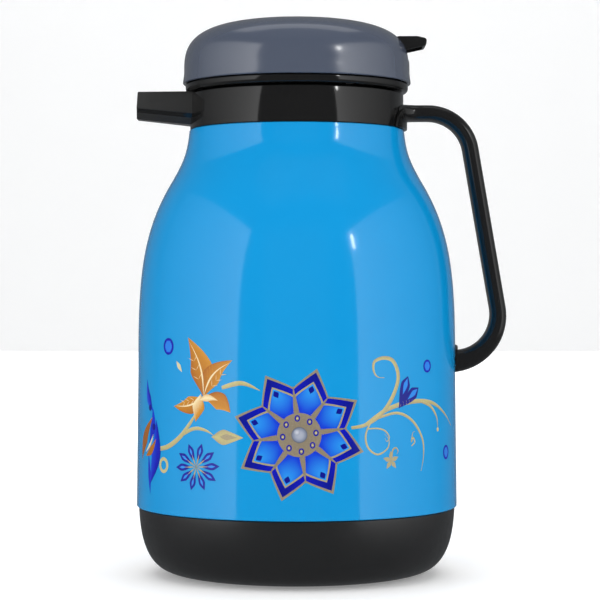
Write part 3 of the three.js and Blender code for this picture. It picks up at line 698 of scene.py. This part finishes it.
def build_stopper():
    """The stopper with its thread, valve tube, pouring window, lever ears and screw holes."""
    outline = rounded(
        [
            (3.6, DECK, 0), (3.6, 246.3, 0), (5.2, 246.3, 0), (5.2, 249, 0.2), (7, 249, 0.4),
            (7, DECK_TOP, 0.6), (FLANGE, DECK_TOP, 0.6), (FLANGE, FLANGE_LOW, 1.8), (PLUG, FLANGE_LOW, 0.4),
            (PLUG, PLUG_FLOOR, 0.8), (27, PLUG_FLOOR, 0.8), (27, TUBE_BOTTOM, 0.4), (24.6, TUBE_BOTTOM, 0.3),
            (24.6, PLUG_FLOOR + 2.2, 0.6), (PLUG_INNER, PLUG_FLOOR + 2.2, 0.8), (PLUG_INNER, DECK, 0.8),
        ]
    )
    stopper = turned("stopper_visual", outline, 128)
    for ridge in thread(PLUG + 0.2, THREAD_HEIGHT - THREAD_DROP):
        cut(ridge, drum("chamber", PLUG_INNER + 1, 220, 245, segments=128))
        add(stopper, ridge)
    foot, top = DECK_TOP - 0.5, pin.z + 4.2
    # A rib inside the dome's rim, which also closes the view through the clearance there.
    outline = rounded([(52.7, foot, 0), (53.7, foot, 0), (53.7, 244.6, 0.3), (52.7, 244.6, 0.3)])
    rib = turned("rib", outline, 128)
    for place in screw_places():
        cut(rib, drum("gap", 4.2, 240, 250, place, 32))
    add(stopper, rib)
    x = pin.x
    outline = rounded([(x - 7, foot, 0), (x - 4.2, top, 4), (x + 4.2, top, 4), (x + 7, foot, 0)], 8)
    for side in (-1, 1):
        add(stopper, moved(prism("ear", outline, 1.4), 0, side * 12.6))
    tools = [
        brick("window", -PLUG - 4, -35, -12, 12, PLUG_FLOOR + 3.2, FLANGE_LOW - 1),
        lying("pin_hole", 1.8, -20, 20, "Y", (x, pin.z)),
    ]
    for place in screw_places():
        tools.append(drum("hole", 1.9, 235, 250, place, 24))
        tools.append(drum("hole", 3.4, 235, DECK + 0.6, place, 32))
    cut(stopper, *tools)
    finished(stopper, collar_plastic, "stopper", "black_plastic", "stopper_body")


DOME_SPRING_LINE = 248
DOME_WALL = 2.2
DOME_ROUNDNESS = (3.32, 3.18)


def build_dome():
    """The dome cap, with its three screw bosses and the slot for the lever."""
    rim = dome_high.y
    reach = rim - 0.65
    top = dome_high.z
    inner_rise = top - DOME_WALL - DOME_SPRING_LINE
    outside = quarter_oval(0, reach, DOME_SPRING_LINE, top - DOME_SPRING_LINE, *DOME_ROUNDNESS, 44)
    inside = quarter_oval(0, reach - DOME_WALL, DOME_SPRING_LINE, inner_rise, *DOME_ROUNDNESS, 24)
    edge = rounded([(rim - DOME_WALL, dome_low.z, 0.5), (rim, dome_low.z, 0.7), outside[0] + (0,)], 4)[:10]
    dome = turned("dome_visual", edge + outside + inside[::-1], 144)
    for place in screw_places():
        add(dome, drum("boss", 3.5, dome_low.z + 0.2, 254, place, 32))
    for place in screw_places():
        cut(dome, drum("hole", 1.75, 240, 253, place, 24))
    cut(dome, brick("slot", 44, 62, -9.8, 9.8, 254.4, 267.4))
    finished(dome, dome_plastic, "stopper", "dome_plastic", "dome_cap")


def build_lever():
    """The thumb lever, with its hub on the pin, the forked cam under the nut and an apron in the slot."""
    x, z, tip = pin.x, pin.z, LEVER_TIP
    outline = [
        (tip - 0.2, 265.3, 1.5), (tip - 5, 266.4, 5), (50, 266.4, 5), (43, 262.6, 5), (x, z + 4.6, 4),
        (x - 6, z + 3.6, 3), (-4.2, z + 3, 0.6), (-4.2, z - 1.6, 0.6), (x - 6, z - 3, 3), (x, z - 4.6, 4),
        (41, 254.4, 4), (49, 258.5, 4), (tip - 0.7, 261.8, 1.1),
    ]
    lever = softened(prism("lever_visual", rounded(outline, 5), 9), 0.7, 3, 40)
    cut(
        lever,
        brick("trim", -10, 27, -20, -7, 240, 270),
        brick("trim", -10, 27, 7, 20, 240, 270),
        brick("trim", -10, 12, -20, 20, z + 2, 270),
        prism("hollow", [(54, 255), (62.7, 255), (62.7, 263.2), (54, 261.8)], 7.3),
    )
    apron = softened(brick("apron", 50.2, 51.6, -8.6, 8.6, 252.4, 260), 0.3, 2)
    add(
        lever,
        lying("hub", 4.6, -10.8, 10.8, "Y", (x, z), 40),
        lying("cam", 4, -7, 7, "Y", (0, z + 0.6), 40),
        apron,
    )
    cut(
        lever,
        brick("fork", -10, 7.5, -3.4, 3.4, 240, 270),
        lying("pin_hole", 1.8, -20, 20, "Y", (x, z)),
    )
    finished(lever, lever_plastic, "lever", "black_plastic", "thumb_lever")


build_base()
build_bottom_cap()
build_shell()
build_collar()
build_handle()
build_stopper()
build_dome()
build_lever()


# ---- glass, seals and valve

GLASS = 1.6
GLASS_POWER = 2.4
SPRING_SEAT = 218.2


def refill_wall(radius, bottom, bulge, side_top, shoulder, hold, neck, inset):
    """One face of a glass wall, from the axis at its bottom up to its neck."""
    floor = quarter_oval(0, radius - inset, bottom + bulge, inset - bulge, GLASS_POWER, GLASS_POWER, 20)
    start = (radius - inset, side_top)
    end = (shoulder[0] - inset, shoulder[1])
    curve = bezier(start, (start[0], side_top + hold), (end[0] + hold * 0.6, end[1] - hold * 0.4), end, 16)
    return [*floor[::-1], start, *curve, (neck[0] - inset, neck[1])]


def build_refill():
    """The two glass walls, the outer one with its seal tip and the inner one with its rolled rim."""
    outer = (69, 22, 30, 148, (38.5, 198), 22, (36, 205))
    tip = [(0, 14.5), (1.4, 14.8), (2.4, 15.8), (3.2, 19), (4.6, 21.9)]
    neck = [(36, 214), (35.7, 214.3), (34.7, 214.3), (34.4, 214)]
    outline = tip + refill_wall(*outer, 0)[1:] + neck + refill_wall(*outer, GLASS)[::-1]
    finished(turned("refill_outer", outline), silvered_glass, "jug", "silvered_glass", "refill_outer_wall")

    inner = (62.4, 28, 28, 150, (34.6, 195), 19, (31.8, 201))
    rim = [(31.8, 214.7, 0.6), (35.8, 214.7, 0.6), (36.3, 215.8, 0.5), (35.4, 217, 0.8), (31, 217, 0.8)]
    rim = rounded([(31.8, 203, 0), *rim, (30.2, 216.2, 0), (30.2, 203, 0)], 4)
    outline = refill_wall(*inner, 0) + rim + refill_wall(*inner, GLASS)[::-1]
    finished(turned("refill_inner", outline), silvered_glass, "jug", "silvered_glass", "refill_inner_wall")

    for k in range(3):
        pad = softened(ring_sector("pad", 62.7, 66.5, 62, 70, TURN * (k + 0.5) / 3, 4, 6), 0.5)
        pad.name = f"refill_pad_{k + 1}"
        finished(pad, silicone, "jug", "silicone", f"glass_pad_{k + 1}")


def build_turned_parts():
    """The seals and the valve's parts that are solids of revolution."""
    low = COLLAR_FLOOR + 0.3
    high = PLUG_FLOOR - 0.3
    groove = low + 0.7
    gasket = [(33, low + 0.8, 0.3)]
    for rib in (33.6, 37.6, 41.6):
        gasket += [(rib, low, 0.2), (rib + 1.8, low, 0.2), (rib + 2.3, groove, 0.2), (rib + 3.5, groove, 0.2)]
    gasket[-2:] = [(44, low + 0.8, 0.3), (44, high, 0.5), (33, high, 0.5)]

    top = TUBE_BOTTOM - 0.3
    seat = [
        (9.6, top - 3.1, 0.3), (26.4, top - 3.1, 0.5), (27, top - 2.5, 0.3), (27, top, 0.3), (24.3, top, 0),
        (24.3, top + 5, 0.4), (22.3, top + 5, 0.4), (22.3, top, 0.3), (10, top, 0.5), (9, top - 1, 0.4),
        (9, top - 2.5, 0.4),
    ]
    disc = TUBE_BOTTOM
    seal = [
        (3.1, disc, 0.2), (12, disc, 0.4), (12.6, disc + 0.8, 0.3), (12.6, disc + 2.2, 0.3),
        (12, disc + 3, 0.4), (3.1, disc + 3, 0.2),
    ]
    stem = [
        (0, top - 3.2, 0), (4.4, top - 3.2, 0.3), (5, top - 2.6, 0.2), (5, top - 0.4, 0.2), (4.6, top, 0.2),
        (2.8, top, 0.2), (2.8, disc + 3.3, 0), (9.5, disc + 3.3, 0.3), (9.5, disc + 4.9, 0.3),
        (2.8, disc + 6, 0.3), (2.8, SPRING_SEAT - 1.7, 0.2), (8.2, SPRING_SEAT - 1.7, 0.3),
        (8.2, SPRING_SEAT, 0.3), (2.8, SPRING_SEAT, 0.2), (2.8, 258.8, 0.2), (2.3, 259.4, 0.1),
        (2.3, 265, 0.1), (1.9, 265.4, 0.1), (0, 265.4, 0),
    ]
    round_section = [
        (4.05 + 0.9 * cos(TURN * k / 20), 247.6 + 0.9 * sin(TURN * k / 20), 0) for k in range(20)
    ]
    parts = [
        ("cushion", rubber, "rubber", "jug", "refill_cushion",
         [(9, 3.7, 1), (34.2, 3.7, 1), (34.2, 16, 3), (31, 23.2, 1.5), (9, 21.5, 1.5)]),
        ("rim_seal", silicone, "silicone", "jug", "neck_seal",
         [(30.6, 217.3, 0.5), (38.2, 217.3, 0.5), (38.2, 219.2, 0.5), (30.6, 219.2, 0.5)]),
        ("gasket", silicone, "silicone", "stopper_seal", "stopper_gasket", gasket),
        ("seat_ring", inner_plastic, "black_plastic", "stopper", "valve_seat", seat),
        ("stem", inner_plastic, "black_plastic", "valve", "valve_stem", stem),
        ("stem_disc", silicone, "silicone", "valve", "valve_seal", seal),
        ("gland_ring", inner_plastic, "black_plastic", "stopper", "gland_cap",
         [(3.3, 249.3, 0.2), (7.4, 249.3, 0.2), (7.4, 250.3, 0.3), (6.8, 250.9, 0.3), (3.3, 250.9, 0.2)]),
        ("stem_ring", silicone, "silicone", "stopper", "stem_seal_ring", round_section),
    ]
    for name, material, slot, body, node, outline in parts:
        finished(turned(name, rounded(outline), 96), material, body, slot, node)


def build_spring():
    """The stem's spring. It hangs from the deck."""
    wire, coils = 0.6, 6
    low = SPRING_SEAT + 0.3 + wire
    high = DECK - 0.3 - wire
    middle, lead = (low + high) / 2, (high - low) / coils
    spring = helix_rod("spring", 6.2, middle, 0, TURN * coils, lead, wire, 40 * coils, 12)
    finished(spring, steel, "stopper", "steel", "stem_spring")
    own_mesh(spring)


def build_nut():
    """The six-sided nut on the stem, which the lever's cam lifts."""
    low = pin.z + 4.9
    nut = softened(drum("nut", 5.6, low, low + 3.4, segments=6), 0.45)
    cut(nut, drum("bore", 2.6, low - 1, low + 5))
    finished(nut, inner_plastic, "valve", "black_plastic", "stem_nut")


def build_screw(name, node, body, head, height, shank, length, turn, place):
    """A pan-head screw: made along +Z with its head's underside at 0, then turned about Y and moved."""
    outline = [(0, -height, 0), (head * 0.7, -height, 0.5), (head, -height * 0.4, 0.5), (head, 0, 0.1)]
    outline += [(shank, 0, 0), (shank, 1, 0)]
    pitch = 1.1
    for k in range(int((length - shank - 1) / pitch)):
        outline += [(shank - 0.35, 1 + pitch * (k + 0.5), 0), (shank, 1 + pitch * (k + 1), 0)]
    outline += [(shank, length - shank, 0), (0, length, 0)]
    made = turned(name, rounded(outline), 40)
    long, wide, deep = head * 0.6, head * 0.14, -height * 0.45
    cross = [
        brick("cross", -along, along, -across, across, -height - 1, deep)
        for along, across in ((long, wide), (wide, long))
    ]
    cut(made, *cross)
    made.data.transform(Matrix.Translation(Vector(place) * MM) @ Matrix.Rotation(turn, 4, "Y"))
    finished(made, steel, body, "steel", node)


def build_fasteners():
    """The five screws and the lever's pin."""
    place = (51.2, 0, HANDLE_TOP)
    build_screw("screw_top", "handle_screw_upper", "jug", 3.1, 1.3, 1.6, 11.5, TURN / 4, place)
    place = (76.6, 0, HANDLE_BOTTOM)
    build_screw("screw_side", "handle_screw_lower", "jug", 3.4, 1.8, 1.6, 8.6, TURN / 4, place)
    for k, (x, y) in enumerate(screw_places(), 1):
        place = (x, y, DECK + 0.3)
        build_screw(f"screw_dome_{k}", f"dome_screw_{k}", "stopper", 3, 1.5, 1.4, 11, 0, place)
    half = pin_high.y
    made = softened(lying("pin", 1.5, -half, half, "Y", (pin.x, pin.z)), 0.3)
    finished(made, steel, "stopper", "steel", "lever_pin")


build_refill()
build_turned_parts()
build_spring()
build_nut()
build_fasteners()


# ---- print
# The floral print, whose layout follows the photographed one. Its places are (s, z): s is how far round the
# shell from its front, towards the handle, and z is the height.

SIDE_LINE = shell_outline()
INK_DEPTH = 0.15


def on_shell(s, z, proud):
    """A point of the print, standing proud of the shell's side."""
    angle = s / SIDE_TOP[0]
    for (low_radius, low_z), (high_radius, high_z) in zip(SIDE_LINE, SIDE_LINE[1:]):
        if z <= high_z:
            break
    radius = low_radius + (high_radius - low_radius) * (z - low_z) / (high_z - low_z) + proud
    return (radius * sin(angle), -radius * cos(angle), z)


def curve_through(*places, steps=8):
    """A smooth line through places."""
    ends = [places[0], *places, places[-1]]
    line = [Vector(places[0])]
    for before, start, end, after in zip(ends, ends[1:], ends[2:], ends[3:]):
        before, start, end, after = (Vector(place) for place in (before, start, end, after))
        for k in range(1, steps + 1):
            t = k / steps
            line.append(
                0.5 * (2 * start + (end - before) * t + (2 * before - 5 * start + 4 * end - after) * t**2
                       + (3 * start - before - 3 * end + after) * t**3)
            )
    return line


class Ink:
    """Closed patches of one ink that lie on the shell. The higher its level, the more it covers."""

    def __init__(self, name, stops, grain=0.0):
        self.name = name
        self.material = printed(name, stops, grain=grain)
        self.points, self.faces, self.tints = [], [], []

    def band(self, level, line, half_width, tint, across, closed=False):
        """A band along a line: half_width(t) and tint(t, side) follow it from t = 0 to 1."""
        first, rows, columns = len(self.points), len(line), 2 * (across + 1)
        sides = [2 * j / across - 1 for j in range(across + 1)]
        for i, place in enumerate(line):
            ahead = line[(i + 1) % rows] if closed else line[min(i + 1, rows - 1)]
            behind = line[i - 1] if closed else line[max(i - 1, 0)]
            t = i / (rows - 1)
            normal = Vector((behind.y - ahead.y, ahead.x - behind.x)).normalized()
            for proud, order in ((0.02 + 0.02 * level, sides), (-INK_DEPTH, sides[::-1])):
                for side in order:
                    s, z = place + normal * (side * half_width(t))
                    self.points.append(on_shell(s, z, proud))
                    self.tints.append(tint(t, side))
        faces = grid_faces(rows, columns, closed, True)
        if not closed:
            faces += end_faces(rows, columns)
        self.faces += [tuple(first + corner for corner in face) for face in faces]

    def stroke(self, level, places, width, tint):
        """A brush stroke that thins out towards its end."""
        self.band(
            level, curve_through(*places),
            lambda t: width / 2 * max(0.15, sin(pi * min(1, 0.25 + 0.75 * t))),
            lambda t, side: tint + 0.1 * side, across=2,
        )

    def petal(self, level, start, tip, half_width, tint, widest=0.56, bend=0.0, steps=18, across=8):
        """A pointed petal. Widest is how far along it its widest place is, and bend curves it."""
        start, tip = Vector(start), Vector(tip)
        way = tip - start
        normal = Vector((-way.y, way.x))
        shares = [k / steps for k in range(steps + 1)]
        line = [start + way * share + normal * (bend * sin(pi * share)) for share in shares]

        def spread(t):
            if t < widest:
                return half_width * sin(TURN / 4 * t / widest) ** 1.2
            return half_width * (1 - ((t - widest) / (1 - widest)) ** 1.12)

        self.band(level, line, spread, tint, across)

    def disc(self, level, centre, radius, tint, steps=20):
        """A disc whose tint follows its radius, from 0 in the middle to 1 on its rim."""
        centre = Vector(centre)
        line = [centre - Vector((radius * cos(pi * k / steps), 0)) for k in range(steps + 1)]
        self.band(
            level, line, lambda t: radius * sin(pi * t),
            lambda t, side: tint(hypot(cos(pi * t), sin(pi * t) * side)), across=10,
        )

    def ring(self, level, centre, radius, width, tint, stretch=1.0, steps=28):
        """A ring of even width, stretched along z."""
        centre = Vector(centre)
        turns = [TURN * k / steps for k in range(steps)]
        line = [centre + Vector((radius * cos(a), radius * stretch * sin(a))) for a in turns]
        self.band(level, line, lambda t: width / 2, lambda t, side: tint, across=2, closed=True)

    def piece(self):
        """Makes the patches into one piece of the shell's ink."""
        obj = make(self.name, self.points, self.faces, 40, self.tints)
        finished(obj, self.material, "jug", "shell_plastic")


def polar(centre, angle, distance, stretch=1.0):
    """A place at an angle in degrees and a distance from a centre, stretched along s."""
    return (
        centre[0] + stretch * distance * cos(radians(angle)),
        centre[1] + distance * sin(radians(angle)),
    )


def even(value):
    """A tint that is the same all over."""
    return lambda t, side: value


gold = Ink(
    "print_gold",
    [(0, (0.1, 0.075, 0.045)), (0.35, (0.27, 0.225, 0.155)), (0.6, (0.46, 0.4, 0.17)), (1, (0.7, 0.63, 0.4))],
    grain=0.22,
)
blue = Ink(
    "print_blue",
    [(0, (0, 0.004, 0.16)), (0.3, (0, 0.004, 0.42)), (0.6, (0.004, 0.05, 0.58)), (1, (0.02, 0.3, 0.76))],
)
orange = Ink(
    "print_orange",
    [
        (0, (0.12, 0.04, 0.01)), (0.3, (0.37, 0.115, 0.004)), (0.65, (0.54, 0.23, 0.014)),
        (1, (0.8, 0.66, 0.38)),
    ],
    grain=0.12,
)
pearl = Ink("print_pearl", [(0, (0.06, 0.065, 0.085)), (0.6, (0.23, 0.26, 0.34)), (1, (0.6, 0.62, 0.68))])


def print_bloom():
    """The big flower: eight pointed petals in outlines of gold round a pearl."""
    centre = (1.3, 73.2)

    def glow(t, side):
        return 0.42 + 0.66 * t**0.9 * (1 - 0.25 * side**2) - 0.08 * side**2

    for k in range(8):
        angle = 45 * k - 15
        leaf = [
            (gold, 1, 3, 31.6, 9.2, even(0.22)),
            (blue, 2, 6, 29.8, 8.2, lambda t, side: 0.24 - 0.2 * t**2 + 0.32 * (1 - t) * side**2),
            (gold, 3, 7, 25.4, 6.8, even(0.34)),
            (blue, 4, 7, 24.4, 6.1, glow),
        ]
        for ink, level, start, tip, half_width, tint in leaf:
            ink.petal(level, polar(centre, angle, start), polar(centre, angle, tip), half_width, tint)
        blue.petal(5, polar(centre, angle, 19.6), polar(centre, angle, 23.4), 1.4, even(0.08))
        gold.petal(5, polar(centre, angle + 22.5, 5), polar(centre, angle + 22.5, 23), 1.2, even(0.16), 0.4)
    gold.disc(6, centre, 10.2, lambda share: 0.12 + 0.06 * share)
    for k in range(8):
        place = polar(centre, 45 * k + 7, 7.7)
        blue.ring(7, place, 1.0, 0.6, 0.16, 1.25, 16)
        gold.disc(7, place, 0.45, lambda share: 0.6, 10)
    pearl.disc(8, centre, 3.7, lambda share: 0.72 - 0.62 * share**4)
    pearl.disc(9, (centre[0] - 1.1, centre[1] + 1.2), 1.4, lambda share: 0.95 - 0.3 * share, 14)


def print_aster():
    """The small flower of ten narrow petals."""
    centre = (-50, 57.2)

    def spoke(angle, distance):
        return polar(centre, angle, distance, 1.15)

    for k in range(10):
        angle = 36 * k + 4
        blue.petal(2, spoke(angle, 2.2), spoke(angle, 11.4), 1.75, even(0.12), 0.66, steps=12, across=4)
        blue.petal(3, spoke(angle, 5.4), spoke(angle, 9.4), 0.6, even(0.9), 0.6, steps=8, across=2)
        gold.petal(4, centre, spoke(angle, 6.4), 0.32, even(0.36), 0.5, steps=6, across=2)


def print_tendrils():
    """The tendrils on the right, their drop, their blossom and their dots."""
    strokes = [
        (2.0, (25.8, 76.2), (33, 77.5), (40.8, 81.9), (47, 89), (50.8, 97), (50.6, 102.6), (47.5, 107.3),
         (42.5, 108.4), (38, 107), (37, 104.2), (37.9, 101), (40, 99.4), (43, 99.2)),
        (2.1, (33, 77.6), (45, 84.5), (60, 87.5), (75, 86.5), (88, 81), (98, 74.5)),
        (1.3, (66, 87.4), (74, 84.8), (79.6, 79.5), (80.7, 74.5)),
        (1.3, (38, 80), (50, 82.5), (60, 78.5), (67, 70), (68, 62), (66, 54.4)),
        (0.9, (36, 79.5), (33, 73), (34, 67), (39, 63.5), (44.5, 66), (45.5, 70), (43, 73)),
        (0.7, (33.5, 75.5), (39, 75.6), (43.2, 74.4), (45.6, 71.4), (44.3, 69.4), (43.2, 71)),
        (0.7, (59.4, 66.6), (61.6, 68.4), (60.4, 70.6), (59.3, 68.6), (60.2, 72.6), (61.8, 73.4)),
    ]
    for width, *places in strokes:
        gold.stroke(2, places, width, 0.44)
    gold.disc(3, (80.7, 73.4), 1.0, lambda share: 0.6, 12)
    gold.stroke(3, [(47.2, 62.6), (47.6, 65.2), (49.4, 66.2), (50.7, 64.7), (49.8, 63.1)], 0.8, 0.36)
    star = (46.6, 60.4)
    for k in range(5):
        tip = polar(star, 72 * k + 20, 4.6)
        gold.petal(2, star, tip, 1.1, even(0.36), 0.5, steps=8, across=2)
    stalk = Vector((51.3, 84.6))
    for lobe in (Vector((57.4, 99.6)), Vector((64.6, 94))):
        blue.petal(2, stalk, lobe, 2.9, even(0.06), 0.76)
        blue.petal(3, stalk.lerp(lobe, 0.42), stalk.lerp(lobe, 0.93), 1.25, even(0.85), 0.66)
    dots = [((-69.6, 113.4), 4), ((71.5, 104), 3.1), ((90.1, 61.9), 3.5)]
    for centre, radius in dots:
        blue.disc(2, centre, radius, lambda share: 0.82 if share < 0.7 else 0.2, 32)
    gold.ring(2, (-72.9, 56.8), 3, 1.6, 0.56)


def print_lily():
    """The orange flower on the left, with its stem, its bud and its leaves."""
    strokes = [
        (2.4, (-78.4, 64.1), (-69, 66), (-60, 71.3), (-52, 80), (-48.6, 85)),
        (1.7, (-62, 70.4), (-52, 75), (-45, 74.6), (-40, 72.2)),
        (2.2, (-36, 94.6), (-26, 96.9), (-17, 93.6)),
    ]
    for width, *places in strokes:
        gold.stroke(1, places, width, 0.48)

    def bud_tint(t, side):
        return 0.52 - 0.22 * abs(side) * (1 - t)

    gold.petal(2, (-41.5, 71.6), (-25, 71.6), 3.6, bud_tint, 0.42)
    gold.petal(3, (-37, 71.8), (-28, 71.6), 1.4, even(0.3), 0.42, steps=10, across=4)
    gold.petal(2, (-63.4, 106.6), (-59.6, 101.4), 1.1, even(0.75), 0.5, steps=8, across=4)

    def flame(t, side):
        return 0.3 + 0.2 * t - 0.2 * side * abs(side)

    heart = Vector((-46, 90))
    petals = [((-55.5, 117.8), 6.6, -0.1), ((-30.6, 107.5), 4.9, 0.14), ((-65, 85.2), 4.2, 0.1)]
    for tip, half_width, bend in petals:
        tip = Vector(tip)
        way = (tip - heart).normalized()
        orange.petal(3, heart, tip, half_width, flame, 0.45, bend)
        orange.petal(4, heart, heart * 0.06 + tip * 0.94, 0.45, even(0.98), 0.4, bend, 14, 2)
        for share in (0.3, 0.45, 0.6):
            fork = heart * (1 - share) + tip * share
            for side in (-1, 1):
                end = fork + way * 2.6 + Vector((-way.y, way.x)) * side * half_width * 0.45
                orange.petal(4, fork, end, 0.18, even(0.8), 0.4, steps=6, across=2)
    orange.petal(4, (-46.5, 89.5), (-31.5, 83.2), 4.2, flame, 0.6, 0.16)
    orange.petal(5, (-47.5, 91.5), (-50.6, 78.4), 3.5, lambda t, side: 0.5 + 0.4 * (1 - t) - 0.2 * side, 0.5)
    orange.petal(6, (-48.6, 88.4), (-38, 88.6), 1.7, lambda t, side: 0.95 - 0.2 * abs(side), 0.45, 0.12)


def print_far_leaves():
    """The blue and brown leaves that run round to the left."""
    blue.petal(2, (-84, 82), (-91, 97), 2.6, lambda t, side: 0.45 + 0.3 * side, 0.45, 0.12)
    blue.petal(2, (-88, 66), (-84, 84), 2.7, lambda t, side: 0.3 + 0.25 * t, 0.5, -0.14)
    blue.petal(3, (-87, 46), (-80, 78), 4.4, lambda t, side: 0.38 + 0.22 * side, 0.55, -0.1)
    blue.petal(2, (-86, 42), (-88.5, 62), 1.5, even(0.4), 0.5)
    orange.petal(4, (-98, 58), (-84, 79), 3.2, lambda t, side: 0.12 + 0.1 * t, 0.45, 0.08)
    orange.petal(4, (-92, 60), (-80, 69), 1.9, even(0.3), 0.5, -0.1)
    orange.petal(5, (-92, 62), (-83, 71), 0.7, even(0.95), 0.5, -0.08, 8, 2)
    blue.disc(5, (-82.5, 74.5), 1.6, lambda share: 0.05)
    blue.disc(5, (-87, 83.5), 1.5, lambda share: 0.05)


print_bloom()
print_aster()
print_tendrils()
print_lily()
print_far_leaves()
for ink in (gold, blue, orange, pearl):
    ink.piece()


# ---- floor and light


def build_stage():
    """A pale floor that curves up into a backdrop behind the jug. It stays out of the reflections."""
    half, front, back, bend, top, ground = 0.95, -0.9, 0.9, 0.6, 3.2, -0.0004
    line = [(front, ground)]
    for k in range(17):
        angle = TURN / 4 * k / 16
        line.append((back + bend * sin(angle), bend * (1 - cos(angle)) + ground))
    line.append((back + bend, top))
    points = [(side * half / MM, y / MM, z / MM) for y, z in line for side in (-1, 1)]
    floor = make("floor", points, grid_faces(len(line), 2), 180)
    white = shader(
        "floor", ((0.86, 0.86, 0.86), (0.88, 0.88, 0.88)), (0.8, 0.9), Emission_Color=(1, 1, 1, 1),
        Emission_Strength=0.22,
    )
    floor.data.materials.append(white)
    floor.visible_glossy = False


def dimmed(data, fade):
    """Makes an area light fade across its width. Its bright end is its own +X if fade is 1, -X if -1."""
    data.use_nodes = True
    tree = data.node_tree
    place = add_node(tree, "NewGeometry", {}).outputs["Parametric"]
    across = add_node(tree, "SeparateXYZ", {"Vector": place}).outputs["X"]
    ends = {"To Min": (1 - fade) / 2, "To Max": (1 + fade) / 2}
    share = add_node(tree, "MapRange", {"Value": across, **ends}).outputs["Result"]
    curve = add_node(tree, "Math", {0: share, 1: 1.6}, operation="POWER").outputs["Value"]
    level = add_node(tree, "Math", {0: curve, 1: 2.6, 2: 0.1}, operation="MULTIPLY_ADD").outputs["Value"]
    tree.links.new(level, tree.nodes["Emission"].inputs["Strength"])


def area_light(name, azimuth, elevation, distance, size, watts, glossy=True, aim=(0, 0, 0.13), fade=0):
    """A softbox. Azimuth is from the camera's side towards +X, and glossy says if reflections show it."""
    data = bpy.data.lights.new(name, "AREA")
    data.shape = "RECTANGLE"
    data.size, data.size_y = size
    data.energy = watts
    light = bpy.data.objects.new(name, data)
    a, e = radians(azimuth), radians(elevation)
    way = Vector((sin(a) * cos(e), -cos(a) * cos(e), sin(e)))
    light.location = Vector(aim) + way * distance
    light.rotation_euler = (-way).to_track_quat("-Z", "Y").to_euler()
    light.visible_glossy = glossy
    light.visible_camera = False
    bpy.context.collection.objects.link(light)
    if fade:
        dimmed(data, fade)


def build_world():
    """A background that is white where the camera looks at it and dim as a light."""
    world = bpy.data.worlds.new("studio")
    world.use_nodes = True
    tree = world.node_tree
    background = tree.nodes["Background"]
    background.inputs["Color"].default_value = (0.92, 0.96, 1.0, 1)
    seen = add_node(tree, "LightPath", {}).outputs["Is Camera Ray"]
    strength = add_node(tree, "MapRange", {"Value": seen, "To Min": 0.16, "To Max": 1.15})
    tree.links.new(strength.outputs["Result"], background.inputs["Strength"])
    bpy.context.scene.world = world


build_stage()
area_light("softbox_left", -78, 12, 1.1, (1.7, 1.1), 3.6, fade=1)
area_light("softbox_right", 80, 10, 1.1, (1.7, 1.1), 3.4, fade=-1)
area_light("wash_left", -70, 14, 1.3, (1.4, 1.1), 4, glossy=False)
area_light("wash_right", 80, 14, 1.3, (1.2, 1.1), 3.5, glossy=False)
area_light("top", 10, 80, 1.3, (1.4, 1.4), 13, glossy=False)
area_light("overhead", 180, 80, 1.3, (1.4, 0.5), 1.3)
area_light("fill", 0, 12, 1.9, (1.6, 1.6), 12.6, glossy=False)
area_light("back_fill", 180, 14, 1.15, (1.0, 0.8), 5, glossy=False)
area_light("key", 43, 25.2, 1.05, (0.04, 0.12), 0.35)
area_light("backdrop", 180, 60, 1.2, (3.0, 1.2), 42, glossy=False, aim=(0, 1.4, 0.5))
build_world()
